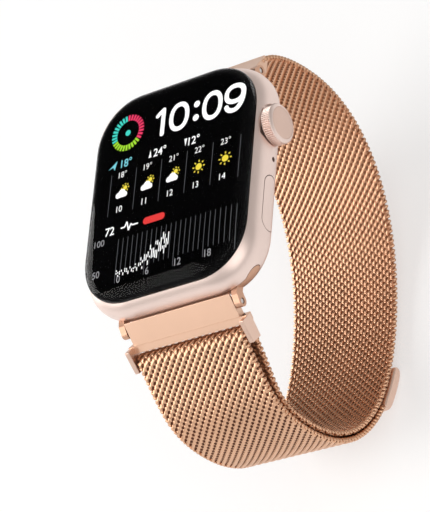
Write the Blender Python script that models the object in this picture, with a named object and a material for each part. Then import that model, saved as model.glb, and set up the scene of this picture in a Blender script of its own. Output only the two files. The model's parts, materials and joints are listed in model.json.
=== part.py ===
"""Smartwatch with a magnetic mesh strap, closed into a loop as it is worn.

Frame: +Z points out of the display, +Y to 12 o'clock and +X to the crown side.
The origin is the centre of the flat on the back crystal, which rests on the wrist.
"""

import math

import bmesh
import bpy
from mathutils import Matrix, Vector
from mathutils.geometry import interpolate_bezier

MM = 0.001

# Case outline and the section of its wall: (height above the back, inset from the widest outline,
# radius of the outline's corners)
CASE_HALF_X = 17.5 * MM
CASE_HALF_Y = 20.5 * MM
CASE_SECTION = (
    (1.10, 4.00, 5.6), (1.16, 3.30, 6.1), (1.45, 2.10, 7.0), (2.00, 1.20, 7.8), (2.80, 0.55, 8.4),
    (3.80, 0.14, 8.8), (4.80, 0.00, 9.0), (6.00, 0.06, 9.1), (7.00, 0.34, 9.1), (7.65, 0.70, 9.1),
    (8.15, 1.12, 9.2),
)
# Cover glass: its foot stands on the rim of the case, and it domes up to a flat top
GLASS_HALF_X = 16.4 * MM
GLASS_HALF_Y = 19.4 * MM
GLASS_SECTION = (
    (8.40, 0.06, 9.3), (8.75, 0.00, 9.4), (9.20, 0.18, 9.2), (9.70, 0.62, 8.8), (10.10, 1.30, 8.1),
    (10.42, 2.20, 7.2), (10.62, 3.20, 6.2), (10.70, 4.40, 5.0),
)
CORNER_STEPS = 7
ROUND_STEPS = 24

# Strap channels: a round-bottomed groove right across the case at 12 and at 6 o'clock
CHANNEL_Y = 17.9 * MM
CHANNEL_Z = 3.55 * MM
CHANNEL_RADIUS = 1.3 * MM
CHANNEL_MOUTH = 0.88 * MM
SLIDE_GAP = 0.12 * MM

# Lugs, their ears and the pins that the strap ends turn on
PIN_Y = 21.5 * MM
PIN_Z = 2.6 * MM
PIN_RADIUS = 0.45 * MM
EAR_INNER_X = 10.95 * MM
EAR_OUTER_X = 12.1 * MM
EAR_EYE_RADIUS = 0.95 * MM
LUG_FRONT_Y = 20.2 * MM

# Strap ends and mesh
LEAF_SLOPE = math.radians(50)
LEAF_TOP = 0.85 * MM
LEAF_BOTTOM = -0.7 * MM
LEAF_HALF_X = 10.8 * MM
BARREL_RADIUS = 1.0 * MM
MESH_HALF_X = 11.05 * MM
MESH_THICK = 1.05 * MM
LAYER_STEP = 1.25 * MM
JOINT_GAP = 0.1 * MM

# Buckle frame: shoulders, then two arms with a round bar that the mesh is folded over
SHOULDER_START = 2.3 * MM
SHOULDER_END = 3.2 * MM
ARM_END = 6.5 * MM
ARM_LOW = -0.5 * MM
ARM_HIGH = 2.35 * MM
BAR_ALONG = 5.6 * MM
BAR_ACROSS = 0.35 * MM
BAR_RADIUS = 0.7 * MM
FOLD_RADIUS = 1.4 * MM

# Crown, side button and openings on the sides
CROWN_Y = 7.9 * MM
CROWN_Z = 4.9 * MM
CROWN_RADIUS = 3.4 * MM
CROWN_INNER_X = 17.25 * MM
CROWN_OUTER_X = 19.3 * MM
CROWN_POCKET_X = 16.85 * MM
CROWN_TEETH = 44
SHAFT_RADIUS = 1.1 * MM
BUTTON_Y = -6.2 * MM
BUTTON_Z = 4.3 * MM
BUTTON_HALF_LENGTH = 4.9 * MM
BUTTON_HALF_HEIGHT = 1.7 * MM
BUTTON_INNER_X = 16.3 * MM
MIC_Y = 1.9 * MM
MIC_Z = 4.3 * MM
RELEASE_Y = 16.6 * MM
RELEASE_Z = 1.12 * MM
CATCH_Z = 2.45 * MM
SCREW_PLACES = tuple(
    (x * MM, y * MM) for x, y in ((-13.2, 9.0), (-13.2, -9.0), (12.6, 12.2), (12.6, -12.2))
)

# Room inside the case: (half x, half y, corner radius) of the back opening, the middle and the display seat
BACK_ROOM = (12.8 * MM, 14.4 * MM, 7.0 * MM)
MIDDLE_ROOM = (15.0 * MM, 15.2 * MM, 6.5 * MM)
DISPLAY_ROOM = (15.2 * MM, 18.2 * MM, 9.0 * MM)
MIDDLE_FLOOR_Z = 3.0 * MM
DISPLAY_FLOOR_Z = 6.3 * MM

# Key points of the closed loop, as (y, z) on the middle of the mesh's inner layer
LOOP_TOP = Vector((0, 29.75 * MM, -14.5 * MM))
LOOP_FAR = Vector((0, -5.6 * MM, -40.75 * MM))
LOOP_LOW = Vector((0, -33.7 * MM, -17.9 * MM))
BAND_LEAVES_AT = math.radians(33)  # below level, where the mesh comes out of the end clamp
CLASP_FROM_Y = -21.8 * MM
CLASP_TO_Y = -13.4 * MM

LEAF_RUN = math.cos(LEAF_SLOPE)
LEAF_DROP = math.sin(LEAF_SLOPE)


def clear_scene():
    for obj in list(bpy.data.objects):
        bpy.data.objects.remove(obj, do_unlink=True)


def make_material(name, colour, roughness, metallic=0.0):
    material = bpy.data.materials.new(name)
    material.use_nodes = True
    shader = material.node_tree.nodes["Principled BSDF"]
    shader.inputs["Base Color"].default_value = (*colour, 1.0)
    shader.inputs["Roughness"].default_value = roughness
    shader.inputs["Metallic"].default_value = metallic
    return material


def make_object(name, mesh_data, material=None, parent=None):
    """An object from a bmesh, shaded smooth with sharp edges kept, on its parent's axis if it has one."""
    mesh = bpy.data.meshes.new(name)
    bmesh.ops.recalc_face_normals(mesh_data, faces=mesh_data.faces)
    if parent:
        bmesh.ops.translate(mesh_data, verts=mesh_data.verts, vec=-parent.location)
    mesh_data.to_mesh(mesh)
    mesh_data.free()
    mesh.shade_smooth()
    mesh.set_sharp_from_angle(angle=math.radians(35))
    obj = bpy.data.objects.new(name, mesh)
    bpy.context.scene.collection.objects.link(obj)
    if material:
        mesh.materials.append(material)
    if parent:
        obj.parent = parent
    return obj


def joint_empty(name, location):
    empty = bpy.data.objects.new(name, None)
    empty.location = location
    bpy.context.scene.collection.objects.link(empty)
    return empty


def loft(rings):
    """A closed bmesh through rings that have the same number of points, capped at both ends."""
    shape = bmesh.new()
    made = [[shape.verts.new(point) for point in ring] for ring in rings]
    count = len(made[0])
    for ring, following in zip(made, made[1:]):
        for i in range(count):
            j = (i + 1) % count
            shape.faces.new((ring[i], ring[j], following[j], following[i]))
    shape.faces.new(list(reversed(made[0])))
    shape.faces.new(made[-1])
    return shape


def ring_solid(outer, inner):
    """A closed bmesh between an outer and an inner stack of rings, open through the middle."""
    shape = bmesh.new()
    skins = [[[shape.verts.new(point) for point in ring] for ring in stack] for stack in (outer, inner)]
    count = len(outer[0])
    for skin in skins:
        for ring, following in zip(skin, skin[1:]):
            for i in range(count):
                j = (i + 1) % count
                shape.faces.new((ring[i], ring[j], following[j], following[i]))
    for end in (0, -1):
        for i in range(count):
            j = (i + 1) % count
            shape.faces.new((skins[0][end][i], skins[0][end][j], skins[1][end][j], skins[1][end][i]))
    return shape


def rounded_rectangle(half_x, half_y, radius, z):
    """One ring of points at height z, starting on the +X side and going round by +Y."""
    points = []
    for corner, (sx, sy) in enumerate(((1, 1), (-1, 1), (-1, -1), (1, -1))):
        for step in range(CORNER_STEPS + 1):
            angle = math.radians(90 * (corner + step / CORNER_STEPS))
            points.append(Vector((
                sx * (half_x - radius) + radius * math.cos(angle),
                sy * (half_y - radius) + radius * math.sin(angle),
                z,
            )))
    return points


def slab(half_x, half_y, radius, low_z, high_z):
    return loft([rounded_rectangle(half_x, half_y, radius, z) for z in (low_z, high_z)])


def section_rings(half_x, half_y, section, shrink=0.0):
    """Rings of a body whose wall follows a section of (z, inset, corner radius) in millimetres."""
    rings = []
    for z, inset, radius in section:
        inset = inset * MM + shrink
        rings.append(rounded_rectangle(half_x - inset, half_y - inset, radius * MM - shrink, z * MM))
    return rings


def case_envelope(shrink=0.0):
    return loft(section_rings(CASE_HALF_X, CASE_HALF_Y, CASE_SECTION, shrink))


def circle(radius, at, axis="X", steps=ROUND_STEPS):
    """A ring of points about a line through `at` along the axis."""
    points = []
    for i in range(steps):
        a = 2 * math.pi * i / steps
        c, s = radius * math.cos(a), radius * math.sin(a)
        offset = {"X": (0, c, s), "Y": (s, 0, c), "Z": (c, s, 0)}[axis]
        points.append(Vector(at) + Vector(offset))
    return points


def rod(radius, start, end, axis="X", steps=ROUND_STEPS):
    return loft([circle(radius, start, axis, steps), circle(radius, end, axis, steps)])


def tube(outer_radius, inner_radius, start, end, axis="X", steps=ROUND_STEPS):
    outer = [circle(outer_radius, at, axis, steps) for at in (start, end)]
    inner = [circle(inner_radius, at, axis, steps) for at in (start, end)]
    return ring_solid(outer, inner)


def turned(profile, centre, axis, steps=ROUND_STEPS):
    """A solid of revolution through (radius, height) pairs along the axis, none of them on it."""
    along = {"X": Vector((1, 0, 0)), "Z": Vector((0, 0, 1))}[axis]
    return loft([circle(radius, Vector(centre) + along * height, axis, steps) for radius, height in profile])


def block(low, high):
    """A box between two corners given in millimetres."""
    low, high = Vector(low) * MM, Vector(high) * MM
    corners = ((low.x, low.y), (high.x, low.y), (high.x, high.y), (low.x, high.y))
    return loft([[Vector((x, y, z)) for x, y in corners] for z in (low.z, high.z)])


def across(outline, low_x, high_x):
    """A (y, z) outline carried across the watch from low_x to high_x."""
    return loft([[Vector((x, y, z)) for y, z in outline] for x in (low_x, high_x)])


def pill(centre, half_length, half_width, low, high, normal):
    """A round-ended bar. With normal X it lies along Y, and with normal Z along X."""
    straight = half_length - half_width
    outline = []
    for i in range(ROUND_STEPS):
        angle = 2 * math.pi * (i + 0.5) / ROUND_STEPS
        side = math.copysign(straight, math.cos(angle))
        outline.append((side + half_width * math.cos(angle), half_width * math.sin(angle)))
    rings = []
    for level in (low, high):
        if normal == "X":
            rings.append([Vector((level, centre[0] + u, centre[1] + v)) for u, v in outline])
        else:
            rings.append([Vector((centre[0] + u, centre[1] + v, level)) for u, v in outline])
    return loft(rings)


def boolean(obj, operation, tool_shape, name):
    """Adds a Boolean whose tool is a hidden wire object on the same parent."""
    tool = make_object(f"{name}_tool", tool_shape, parent=obj.parent)
    tool.hide_render = True
    tool.display_type = "WIRE"
    modifier = obj.modifiers.new(name, "BOOLEAN")
    modifier.operation = operation
    modifier.object = tool
    return tool


def bevel(obj, width, segments=2, angle=40):
    modifier = obj.modifiers.new("edge", "BEVEL")
    modifier.width = width
    modifier.segments = segments
    modifier.limit_method = "ANGLE"
    modifier.angle_limit = math.radians(angle)
    return modifier


def curve_points(start, start_handle, end_handle, end, steps):
    return interpolate_bezier(start, start_handle, end_handle, end, steps)


def normals_of(path):
    """Unit normals of a path in the YZ plane, on the outside of the loop."""
    found = []
    for i, _ in enumerate(path):
        along = (path[min(i + 1, len(path) - 1)] - path[max(i - 1, 0)]).normalized()
        found.append(Vector((0, -along.z, along.y)))
    return found


def offset_path(path, distance):
    return [point + normal * distance for point, normal in zip(path, normals_of(path))]


def ribbon(path, half_x, inner, outer):
    """A strip along a path in the YZ plane, from `inner` to `outer` off the path, which may vary along it."""
    inner = inner if isinstance(inner, list) else [inner] * len(path)
    outer = outer if isinstance(outer, list) else [outer] * len(path)
    rings = []
    for point, normal, low, high in zip(path, normals_of(path), inner, outer):
        rings.append([
            point + normal * low + Vector((-half_x, 0, 0)),
            point + normal * low + Vector((half_x, 0, 0)),
            point + normal * high + Vector((half_x, 0, 0)),
            point + normal * high + Vector((-half_x, 0, 0)),
        ])
    return loft(rings)


def leaf_point(side, along, over):
    """A point of a strap end: `along` down its slope from the pin, and `over` out of the loop. side is 1 at 12 o'clock."""
    y = PIN_Y + along * LEAF_RUN + over * LEAF_DROP
    z = PIN_Z - along * LEAF_DROP + over * LEAF_RUN
    return Vector((0, side * y, z))


def leaf_outline(side, start, end, low, high):
    corners = ((start, low), (end, low), (end, high), (start, high))
    return [tuple(leaf_point(side, along, over))[1:] for along, over in corners]


# ---- the case and what is in it


def build_housing(material):
    housing = make_object("case_housing", case_envelope(), material)
    half_x, half_y, radius = BACK_ROOM
    boolean(housing, "DIFFERENCE", slab(half_x, half_y, radius, 0, MIDDLE_FLOOR_Z + JOINT_GAP), "back_room")
    half_x, half_y, radius = MIDDLE_ROOM
    boolean(
        housing, "DIFFERENCE",
        slab(half_x, half_y, radius, MIDDLE_FLOOR_Z, DISPLAY_FLOOR_Z + JOINT_GAP), "middle_room",
    )
    half_x, half_y, radius = DISPLAY_ROOM
    boolean(housing, "DIFFERENCE", slab(half_x, half_y, radius, DISPLAY_FLOOR_Z, 9 * MM), "display_room")
    for side, name in ((1, "upper"), (-1, "lower")):
        boolean(
            housing, "DIFFERENCE",
            across(channel_outline(side, 0), -CASE_HALF_X - MM, CASE_HALF_X + MM), f"{name}_channel",
        )
        hole = pill((0, side * RELEASE_Y), 3.05 * MM, 0.92 * MM, 0, 3.2 * MM, "Z")
        boolean(housing, "DIFFERENCE", hole, f"{name}_release_hole")
    outside = CASE_HALF_X + 2 * MM
    crown_at = (0, CROWN_Y, CROWN_Z)
    bore = rod(2.1 * MM, (14 * MM, *crown_at[1:]), (outside, *crown_at[1:]))
    boolean(housing, "DIFFERENCE", bore, "crown_bore")
    pocket = rod(CROWN_RADIUS + 0.25 * MM, (CROWN_POCKET_X, *crown_at[1:]), (outside, *crown_at[1:]))
    boolean(housing, "DIFFERENCE", pocket, "crown_pocket")
    button_at = (BUTTON_Y, BUTTON_Z)
    pocket = pill(
        button_at, BUTTON_HALF_LENGTH + SLIDE_GAP, BUTTON_HALF_HEIGHT + SLIDE_GAP, 15.9 * MM, outside, "X",
    )
    boolean(housing, "DIFFERENCE", pocket, "button_pocket")
    bore = rod(0.62 * MM, (14 * MM, *button_at), (16.5 * MM, *button_at), steps=16)
    boolean(housing, "DIFFERENCE", bore, "button_bore")
    microphone = rod(0.42 * MM, (14 * MM, MIC_Y, MIC_Z), (outside, MIC_Y, MIC_Z), steps=16)
    boolean(housing, "DIFFERENCE", microphone, "microphone_hole")
    for i, y in enumerate((-2.9 * MM, 2.9 * MM)):
        slit = pill((y, BUTTON_Z), 2.3 * MM, 0.42 * MM, -outside, -14 * MM, "X")
        boolean(housing, "DIFFERENCE", slit, f"speaker_slit_{i}")
    for i, (x, y) in enumerate(SCREW_PLACES):
        hole = rod(0.5 * MM, (x, y, 2.2 * MM), (x, y, 3.5 * MM), "Z", steps=12)
        boolean(housing, "DIFFERENCE", hole, f"screw_hole_{i}")
    return housing


def channel_outline(side, shrink):
    """Keyhole section of a strap channel, or of the lug in it when shrunk, open towards the outside."""
    radius = CHANNEL_RADIUS - shrink
    mouth = CHANNEL_MOUTH - shrink
    start = math.asin(mouth / radius)
    outline = []
    steps = 18
    for i in range(steps + 1):
        angle = start + (2 * math.pi - 2 * start) * i / steps
        outline.append((
            side * (CHANNEL_Y + radius * math.cos(angle)),
            CHANNEL_Z + radius * math.sin(angle),
        ))
    reach = LUG_FRONT_Y if shrink else CASE_HALF_Y + 2 * MM
    outline.append((side * reach, CHANNEL_Z - mouth))
    outline.append((side * reach, CHANNEL_Z + mouth))
    return outline


def build_display(glass, rubber, panel, steel):
    crystal = make_object(
        "front_crystal",
        loft(section_rings(GLASS_HALF_X, GLASS_HALF_Y, GLASS_SECTION)), glass,
    )
    room = slab(15.25 * MM, 18.25 * MM, 8.4 * MM, 8 * MM, 9.55 * MM)
    boolean(crystal, "DIFFERENCE", room, "display_recess")
    outer = [rounded_rectangle(16.2 * MM, 19.2 * MM, 9.2 * MM, z * MM) for z in (8.20, 8.35)]
    inner = [rounded_rectangle(15.3 * MM, 18.3 * MM, 8.6 * MM, z * MM) for z in (8.20, 8.35)]
    make_object("crystal_seal", ring_solid(outer, inner), rubber)
    make_object("display_panel", slab(15.1 * MM, 18.1 * MM, 8.3 * MM, 8.95 * MM, 9.45 * MM), panel)
    make_object("display_shield", slab(14.9 * MM, 17.9 * MM, 8.2 * MM, 8.25 * MM, 8.8 * MM), steel)


def build_back(ceramic, glass, rubber, board, copper):
    half_x, half_y, radius = BACK_ROOM
    gap = JOINT_GAP
    cover = make_object(
        "back_cover", slab(half_x - gap, half_y - gap, radius - gap, 1.15 * MM, 2.4 * MM), ceramic,
    )
    boolean(cover, "DIFFERENCE", rod(11.6 * MM, (0, 0, 0), (0, 0, 4 * MM), "Z", 48), "crystal_hole")
    outer = [rounded_rectangle(12.6 * MM, 14.2 * MM, 6.8 * MM, z * MM) for z in (2.5, 2.95)]
    inner = [rounded_rectangle(11.8 * MM, 13.4 * MM, 6.0 * MM, z * MM) for z in (2.5, 2.95)]
    make_object("back_seal", ring_solid(outer, inner), rubber)
    dome = (
        (4.5, 0.0), (6.5, 0.10), (8.3, 0.34), (9.8, 0.72), (10.8, 1.12), (11.35, 1.45), (11.5, 1.75),
        (11.5, 2.4), (10.3, 2.4), (10.3, 1.8), (8.0, 1.3), (4.5, 1.05),
    )
    profile = [(radius * MM, z * MM) for radius, z in dome]
    make_object("back_crystal", turned(profile, (0, 0, 0), "Z", 48), glass)
    make_object("sensor_board", rod(6.8 * MM, (0, 0, 1.35 * MM), (0, 0, 1.75 * MM), "Z"), board)
    coil = tube(9.9 * MM, 7.2 * MM, (0, 0, 1.9 * MM), (0, 0, 2.3 * MM), "Z")
    make_object("charging_coil", coil, copper)


def build_electronics(board, chip, steel, foil, black):
    circuit = make_object("logic_board", slab(13.9 * MM, 14.6 * MM, 6 * MM, 3.1 * MM, 3.7 * MM), board)
    for i, (x, y) in enumerate(SCREW_PLACES):
        hole = rod(0.55 * MM, (x, y, 3 * MM), (x, y, 4.2 * MM), "Z", steps=12)
        boolean(circuit, "DIFFERENCE", hole, f"board_hole_{i}")
        profile = [(0.4 * MM, 2.3 * MM), (0.4 * MM, 3.75 * MM), (0.8 * MM, 3.75 * MM), (0.8 * MM, 4.25 * MM)]
        screw = make_object(f"board_screw_{i + 1}", turned(profile, (x, y, 0), "Z", 12), steel)
        drive = pill((x, y), 0.5 * MM, 0.12 * MM, 4.05 * MM, 4.6 * MM, "Z")
        boolean(screw, "DIFFERENCE", drive, f"screw_drive_{i + 1}")
    boxes = (
        ("processor_package", (-8, 0, 3.8), (4, 12, 4.7), chip),
        ("battery", (-9.8, -3.0, 4.9), (5.6, 14.2, 7.8), foil),
        ("haptic_motor", (-9.8, -14.2, 4.1), (9.0, -3.6, 7.6), steel),
        ("speaker_module", (-14.5, -6.0, 4.1), (-10.5, 6.0, 7.4), black),
        ("microphone", (13.3, 1.0, 4.05), (14.7, 2.8, 5.5), steel),
        ("side_button_switch", (11.6, -7.6, 4.05), (13.1, -4.4, 6.0), black),
        ("crown_switch", (7.6, 6.2, 4.05), (8.9, 9.2, 6.4), black),
    )
    for name, low, high, material in boxes:
        bevel(make_object(name, block(low, high), material), 0.25 * MM)


def build_crown(aluminium, steel, rubber, black, pink):
    """The crown turns on its shaft, and the shaft pushes a plate against the switch."""
    axis = joint_empty("crown_axis", (CROWN_OUTER_X, CROWN_Y, CROWN_Z))

    def on_axis(x):
        return Vector((x * MM, CROWN_Y, CROWN_Z))

    encoder = make_object("crown_encoder", block((10.3, 4.4, 4.1), (13.7, 11.0, 7.6)), black)
    boolean(encoder, "DIFFERENCE", rod(SHAFT_RADIUS + 0.12 * MM, on_axis(9), on_axis(15)), "encoder_bore")
    bush = [(2.0 * MM, x * MM) for x in (14.1, 16.75)]
    bush_object = make_object("crown_bush", turned(bush, (0, CROWN_Y, CROWN_Z), "X"), steel)
    boolean(bush_object, "DIFFERENCE", rod(SHAFT_RADIUS + 0.05 * MM, on_axis(13), on_axis(18)), "bush_bore")
    boolean(bush_object, "DIFFERENCE", rod(1.65 * MM, on_axis(15.6), on_axis(18)), "bush_seal_room")
    make_object("crown_push_plate", rod(1.0 * MM, on_axis(9.3), on_axis(9.9), steps=16), steel, axis)
    make_object("crown_shaft", rod(SHAFT_RADIUS, on_axis(10.0), on_axis(17.9)), steel, axis)
    seal = tube(1.55 * MM, SHAFT_RADIUS + 0.03 * MM, on_axis(16.1), on_axis(16.65))
    make_object("crown_seal_ring", seal, rubber, axis)
    dial = make_object("crown_dial", knurled_dial(), aluminium, axis)
    boolean(dial, "DIFFERENCE", rod(SHAFT_RADIUS + 0.03 * MM, on_axis(17), on_axis(17.95)), "shaft_socket")
    boolean(dial, "DIFFERENCE", rod(2.65 * MM, on_axis(18.95), on_axis(20)), "cap_recess")
    cap = make_object("crown_cap", rod(2.6 * MM, on_axis(18.98), on_axis(19.32)), pink, axis)
    bevel(cap, 0.08 * MM)


def knurled_dial():
    """A wheel with fine straight teeth round its rim and a plain chamfered lip at each end."""
    steps = CROWN_TEETH * 2
    rings = []
    for x, radius, depth in (
        (CROWN_INNER_X, CROWN_RADIUS - 0.30 * MM, 0.0),
        (CROWN_INNER_X + 0.20 * MM, CROWN_RADIUS - 0.05 * MM, 0.0),
        (CROWN_INNER_X + 0.30 * MM, CROWN_RADIUS, 0.16 * MM),
        (CROWN_OUTER_X - 0.62 * MM, CROWN_RADIUS, 0.16 * MM),
        (CROWN_OUTER_X - 0.50 * MM, CROWN_RADIUS - 0.06 * MM, 0.0),
        (CROWN_OUTER_X - 0.20 * MM, CROWN_RADIUS - 0.22 * MM, 0.0),
        (CROWN_OUTER_X, CROWN_RADIUS - 0.62 * MM, 0.0),
    ):
        ring = []
        for i in range(steps):
            angle = 2 * math.pi * i / steps
            reach = radius - depth * (i % 2)
            ring.append(Vector((x, CROWN_Y + reach * math.cos(angle), CROWN_Z + reach * math.sin(angle))))
        rings.append(ring)
    return loft(rings)


def build_side_button(aluminium):
    """A flush round-ended key, cut to the curve of the case, with a stem that reaches the switch."""
    axis = joint_empty("side_button_axis", (BUTTON_INNER_X, BUTTON_Y, BUTTON_Z))
    at = (BUTTON_Y, BUTTON_Z)
    key = make_object(
        "side_button",
        pill(at, BUTTON_HALF_LENGTH, BUTTON_HALF_HEIGHT, BUTTON_INNER_X, CASE_HALF_X + MM, "X"), aluminium, axis,
    )
    boolean(key, "INTERSECT", case_envelope(0.03 * MM), "case_curve")
    stem = rod(0.5 * MM, (13.5 * MM, *at), (16.6 * MM, *at), steps=16)
    boolean(key, "UNION", stem, "button_stem")


# ---- the strap


def build_release(side, name, aluminium, steel):
    """The key on the back, and the catch in the lug that it lifts."""
    button_axis = joint_empty(f"release_button_{name}_axis", (0, side * RELEASE_Y, RELEASE_Z))
    top = RELEASE_Z + 0.45 * MM
    button = pill((0, side * RELEASE_Y), 2.95 * MM, 0.82 * MM, RELEASE_Z, top, "Z")
    make_object(f"release_button_{name}", button, aluminium, button_axis)
    catch_axis = joint_empty(f"lug_{name}_catch_axis", (0, side * CHANNEL_Y, CATCH_Z))
    catch = pill((0, side * CHANNEL_Y), 1.9 * MM, 0.5 * MM, CATCH_Z, CATCH_Z + 0.45 * MM, "Z")
    make_object(f"lug_{name}_catch", catch, steel, catch_axis)


def build_lug(side, name, gold, steel):
    """A slide-in lug: a round foot in the channel, a neck, and two ears that hold the pin."""
    axis = joint_empty(f"lug_{name}_axis", (0, side * CHANNEL_Y, CHANNEL_Z))
    foot_outline = [
        (side * (CHANNEL_Y + (CHANNEL_RADIUS - SLIDE_GAP) * math.cos(2 * math.pi * i / 24)),
         CHANNEL_Z + (CHANNEL_RADIUS - SLIDE_GAP) * math.sin(2 * math.pi * i / 24))
        for i in range(24)
    ]
    lug = make_object(f"lug_{name}", across(foot_outline, -CASE_HALF_X, CASE_HALF_X), gold, axis)
    boolean(lug, "INTERSECT", case_envelope(0.04 * MM), f"{name}_case_curve")
    neck = across(channel_outline(side, SLIDE_GAP)[-2:] + neck_root(side), -EAR_OUTER_X, EAR_OUTER_X)
    boolean(lug, "UNION", neck, f"{name}_neck")
    for hand in (-1, 1):
        ear = across(ear_outline(side), *sorted((hand * EAR_INNER_X, hand * (EAR_OUTER_X + 0.01 * MM))))
        boolean(lug, "UNION", ear, f"{name}_ear_{'left' if hand < 0 else 'right'}")
    hole = rod(PIN_RADIUS + 0.03 * MM, (-20 * MM, side * PIN_Y, PIN_Z), (20 * MM, side * PIN_Y, PIN_Z), steps=24)
    boolean(lug, "DIFFERENCE", hole, f"{name}_pin_hole")
    pocket = pill((0, side * CHANNEL_Y), 2.05 * MM, 0.62 * MM, 2 * MM, CATCH_Z + 0.9 * MM, "Z")
    boolean(lug, "DIFFERENCE", pocket, f"{name}_catch_pocket")
    reach = EAR_OUTER_X - 0.2 * MM
    pin = rod(PIN_RADIUS, (-reach, side * PIN_Y, PIN_Z), (reach, side * PIN_Y, PIN_Z), steps=24)
    make_object(f"lug_{name}_pin", pin, steel, axis)


def neck_root(side):
    mouth = CHANNEL_MOUTH - SLIDE_GAP
    inside = CHANNEL_Y + 0.3 * MM
    return [(side * inside, CHANNEL_Z + mouth), (side * inside, CHANNEL_Z - mouth)]


def ear_outline(side):
    """An ear seen from the side: a bar out of the neck that ends in a round eye about the pin."""
    mouth = CHANNEL_MOUTH - SLIDE_GAP + 0.01 * MM
    outline = [
        (CHANNEL_Y + 0.7 * MM, CHANNEL_Z - mouth),
        (CHANNEL_Y + 0.7 * MM, CHANNEL_Z + mouth),
        (PIN_Y - 0.9 * MM, CHANNEL_Z + mouth),
    ]
    steps = 14
    for i in range(steps + 1):
        angle = math.radians(75 - 245 * i / steps)
        outline.append((PIN_Y + EAR_EYE_RADIUS * math.cos(angle), PIN_Z + EAR_EYE_RADIUS * math.sin(angle)))
    outline.append((PIN_Y - 1.55 * MM, CHANNEL_Z - mouth))
    return [(side * y, z) for y, z in outline]


def barrelled_leaf(name, side, end, material, parent):
    """A strap end: a leaf whose flat face runs on over the barrel round the pin."""
    first = math.pi - math.asin(LEAF_TOP / BARREL_RADIUS)
    last = 2 * math.pi + math.asin(LEAF_BOTTOM / BARREL_RADIUS)
    steps = 15
    places = []
    for i in range(steps + 1):
        angle = first + (last - first) * i / steps
        places.append((BARREL_RADIUS * math.cos(angle), BARREL_RADIUS * math.sin(angle)))
    places += [(end, LEAF_BOTTOM), (end, LEAF_TOP)]
    outline = [tuple(leaf_point(side, along, over))[1:] for along, over in places]
    leaf = make_object(name, across(outline, -LEAF_HALF_X, LEAF_HALF_X), material, parent)
    at = (side * PIN_Y, PIN_Z)
    hole = rod(PIN_RADIUS + 0.1 * MM, (-20 * MM, *at), (20 * MM, *at), steps=24)
    boolean(leaf, "DIFFERENCE", hole, f"{name}_pin_hole")
    return leaf


def build_end_clamp(gold):
    """The strap's fixed end, a leaf that the first rows of the mesh are welded into."""
    axis = joint_empty("band_swing_axis", (0, PIN_Y, PIN_Z))
    barrelled_leaf("band_end_clamp", 1, SHOULDER_END, gold, axis)
    return axis


def build_buckle(gold, steel):
    """The frame that hinges on the lower lug: a leaf, wider shoulders and two arms, with a bar between them."""
    axis = joint_empty("buckle_tilt_axis", (0, -PIN_Y, PIN_Z))
    frame = barrelled_leaf("buckle_frame", -1, SHOULDER_END, gold, axis)
    for hand in (-1, 1):
        ends = sorted((hand * (MESH_HALF_X + 0.2 * MM), hand * EAR_OUTER_X))
        arm = across(leaf_outline(-1, SHOULDER_START, ARM_END, ARM_LOW, ARM_HIGH), *ends)
        boolean(frame, "UNION", arm, f"buckle_arm_{'left' if hand < 0 else 'right'}")
    shoulder = leaf_outline(
        -1, SHOULDER_START + 0.2 * MM, SHOULDER_END - 0.2 * MM, LEAF_BOTTOM + 0.15 * MM, LEAF_TOP - 0.15 * MM,
    )
    inset = EAR_OUTER_X - 0.3 * MM
    boolean(frame, "UNION", across(shoulder, -inset, inset), "buckle_shoulders")
    centre = leaf_point(-1, BAR_ALONG, BAR_ACROSS)
    hole = rod(BAR_RADIUS - 0.15 * MM, (-11.7 * MM, *centre[1:]), (11.7 * MM, *centre[1:]), steps=24)
    boolean(frame, "DIFFERENCE", hole, "bar_sockets")
    bar_profile = [
        (BAR_RADIUS - 0.2 * MM, -11.6 * MM), (BAR_RADIUS - 0.2 * MM, -11.0 * MM), (BAR_RADIUS, -11.0 * MM),
        (BAR_RADIUS, 11.0 * MM), (BAR_RADIUS - 0.2 * MM, 11.0 * MM), (BAR_RADIUS - 0.2 * MM, 11.6 * MM),
    ]
    make_object("buckle_bar", turned(bar_profile, centre, "X", 24), steel, axis)


def loop_paths():
    """Centre lines of the four stretches of mesh, going round from 12 o'clock to the clasp."""
    leaving = Vector((0, math.cos(BAND_LEAVES_AT), -math.sin(BAND_LEAVES_AT)))
    lower_down = Vector((0, -LEAF_RUN, -LEAF_DROP))
    start = leaf_point(1, 3.3 * MM, LEAF_TOP + 0.35 * MM)
    upper = curve_points(start, start + leaving * 4.75 * MM, LOOP_TOP + Vector((0, 0, 4.7 * MM)), LOOP_TOP, 9)
    upper += curve_points(
        LOOP_TOP, LOOP_TOP - Vector((0, 0, 16.15 * MM)), LOOP_FAR + Vector((0, 20.7 * MM, 0)), LOOP_FAR, 25,
    )[1:]
    bottom = curve_points(
        LOOP_FAR, LOOP_FAR - Vector((0, 17.0 * MM, 0)), LOOP_LOW - Vector((0, 0, 15.1 * MM)), LOOP_LOW, 25,
    )
    bar = leaf_point(-1, BAR_ALONG, BAR_ACROSS)
    out = leaf_point(-1, 0, 1 * MM) - leaf_point(-1, 0, 0)
    out.normalize()
    inside_bar = bar - out * FOLD_RADIUS
    rising = curve_points(
        LOOP_LOW, LOOP_LOW + Vector((0, 0, 9 * MM)), inside_bar + lower_down * 10 * MM, inside_bar, 13,
    )[1:]
    fold = []
    for i in range(1, 11):
        turn = math.radians(172 * i / 10)
        fold.append(bar - out * FOLD_RADIUS * math.cos(turn) - lower_down * FOLD_RADIUS * math.sin(turn))
    outside_bar = bar + out * FOLD_RADIUS
    outer_low = LOOP_LOW - Vector((0, LAYER_STEP, 0))
    tail = curve_points(
        outside_bar + lower_down * 0.62 * MM, outside_bar + lower_down * 7.62 * MM,
        outer_low + Vector((0, 0, 9 * MM)), outer_low, 13,
    )
    return upper, bottom + rising + fold, tail, bottom


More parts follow.
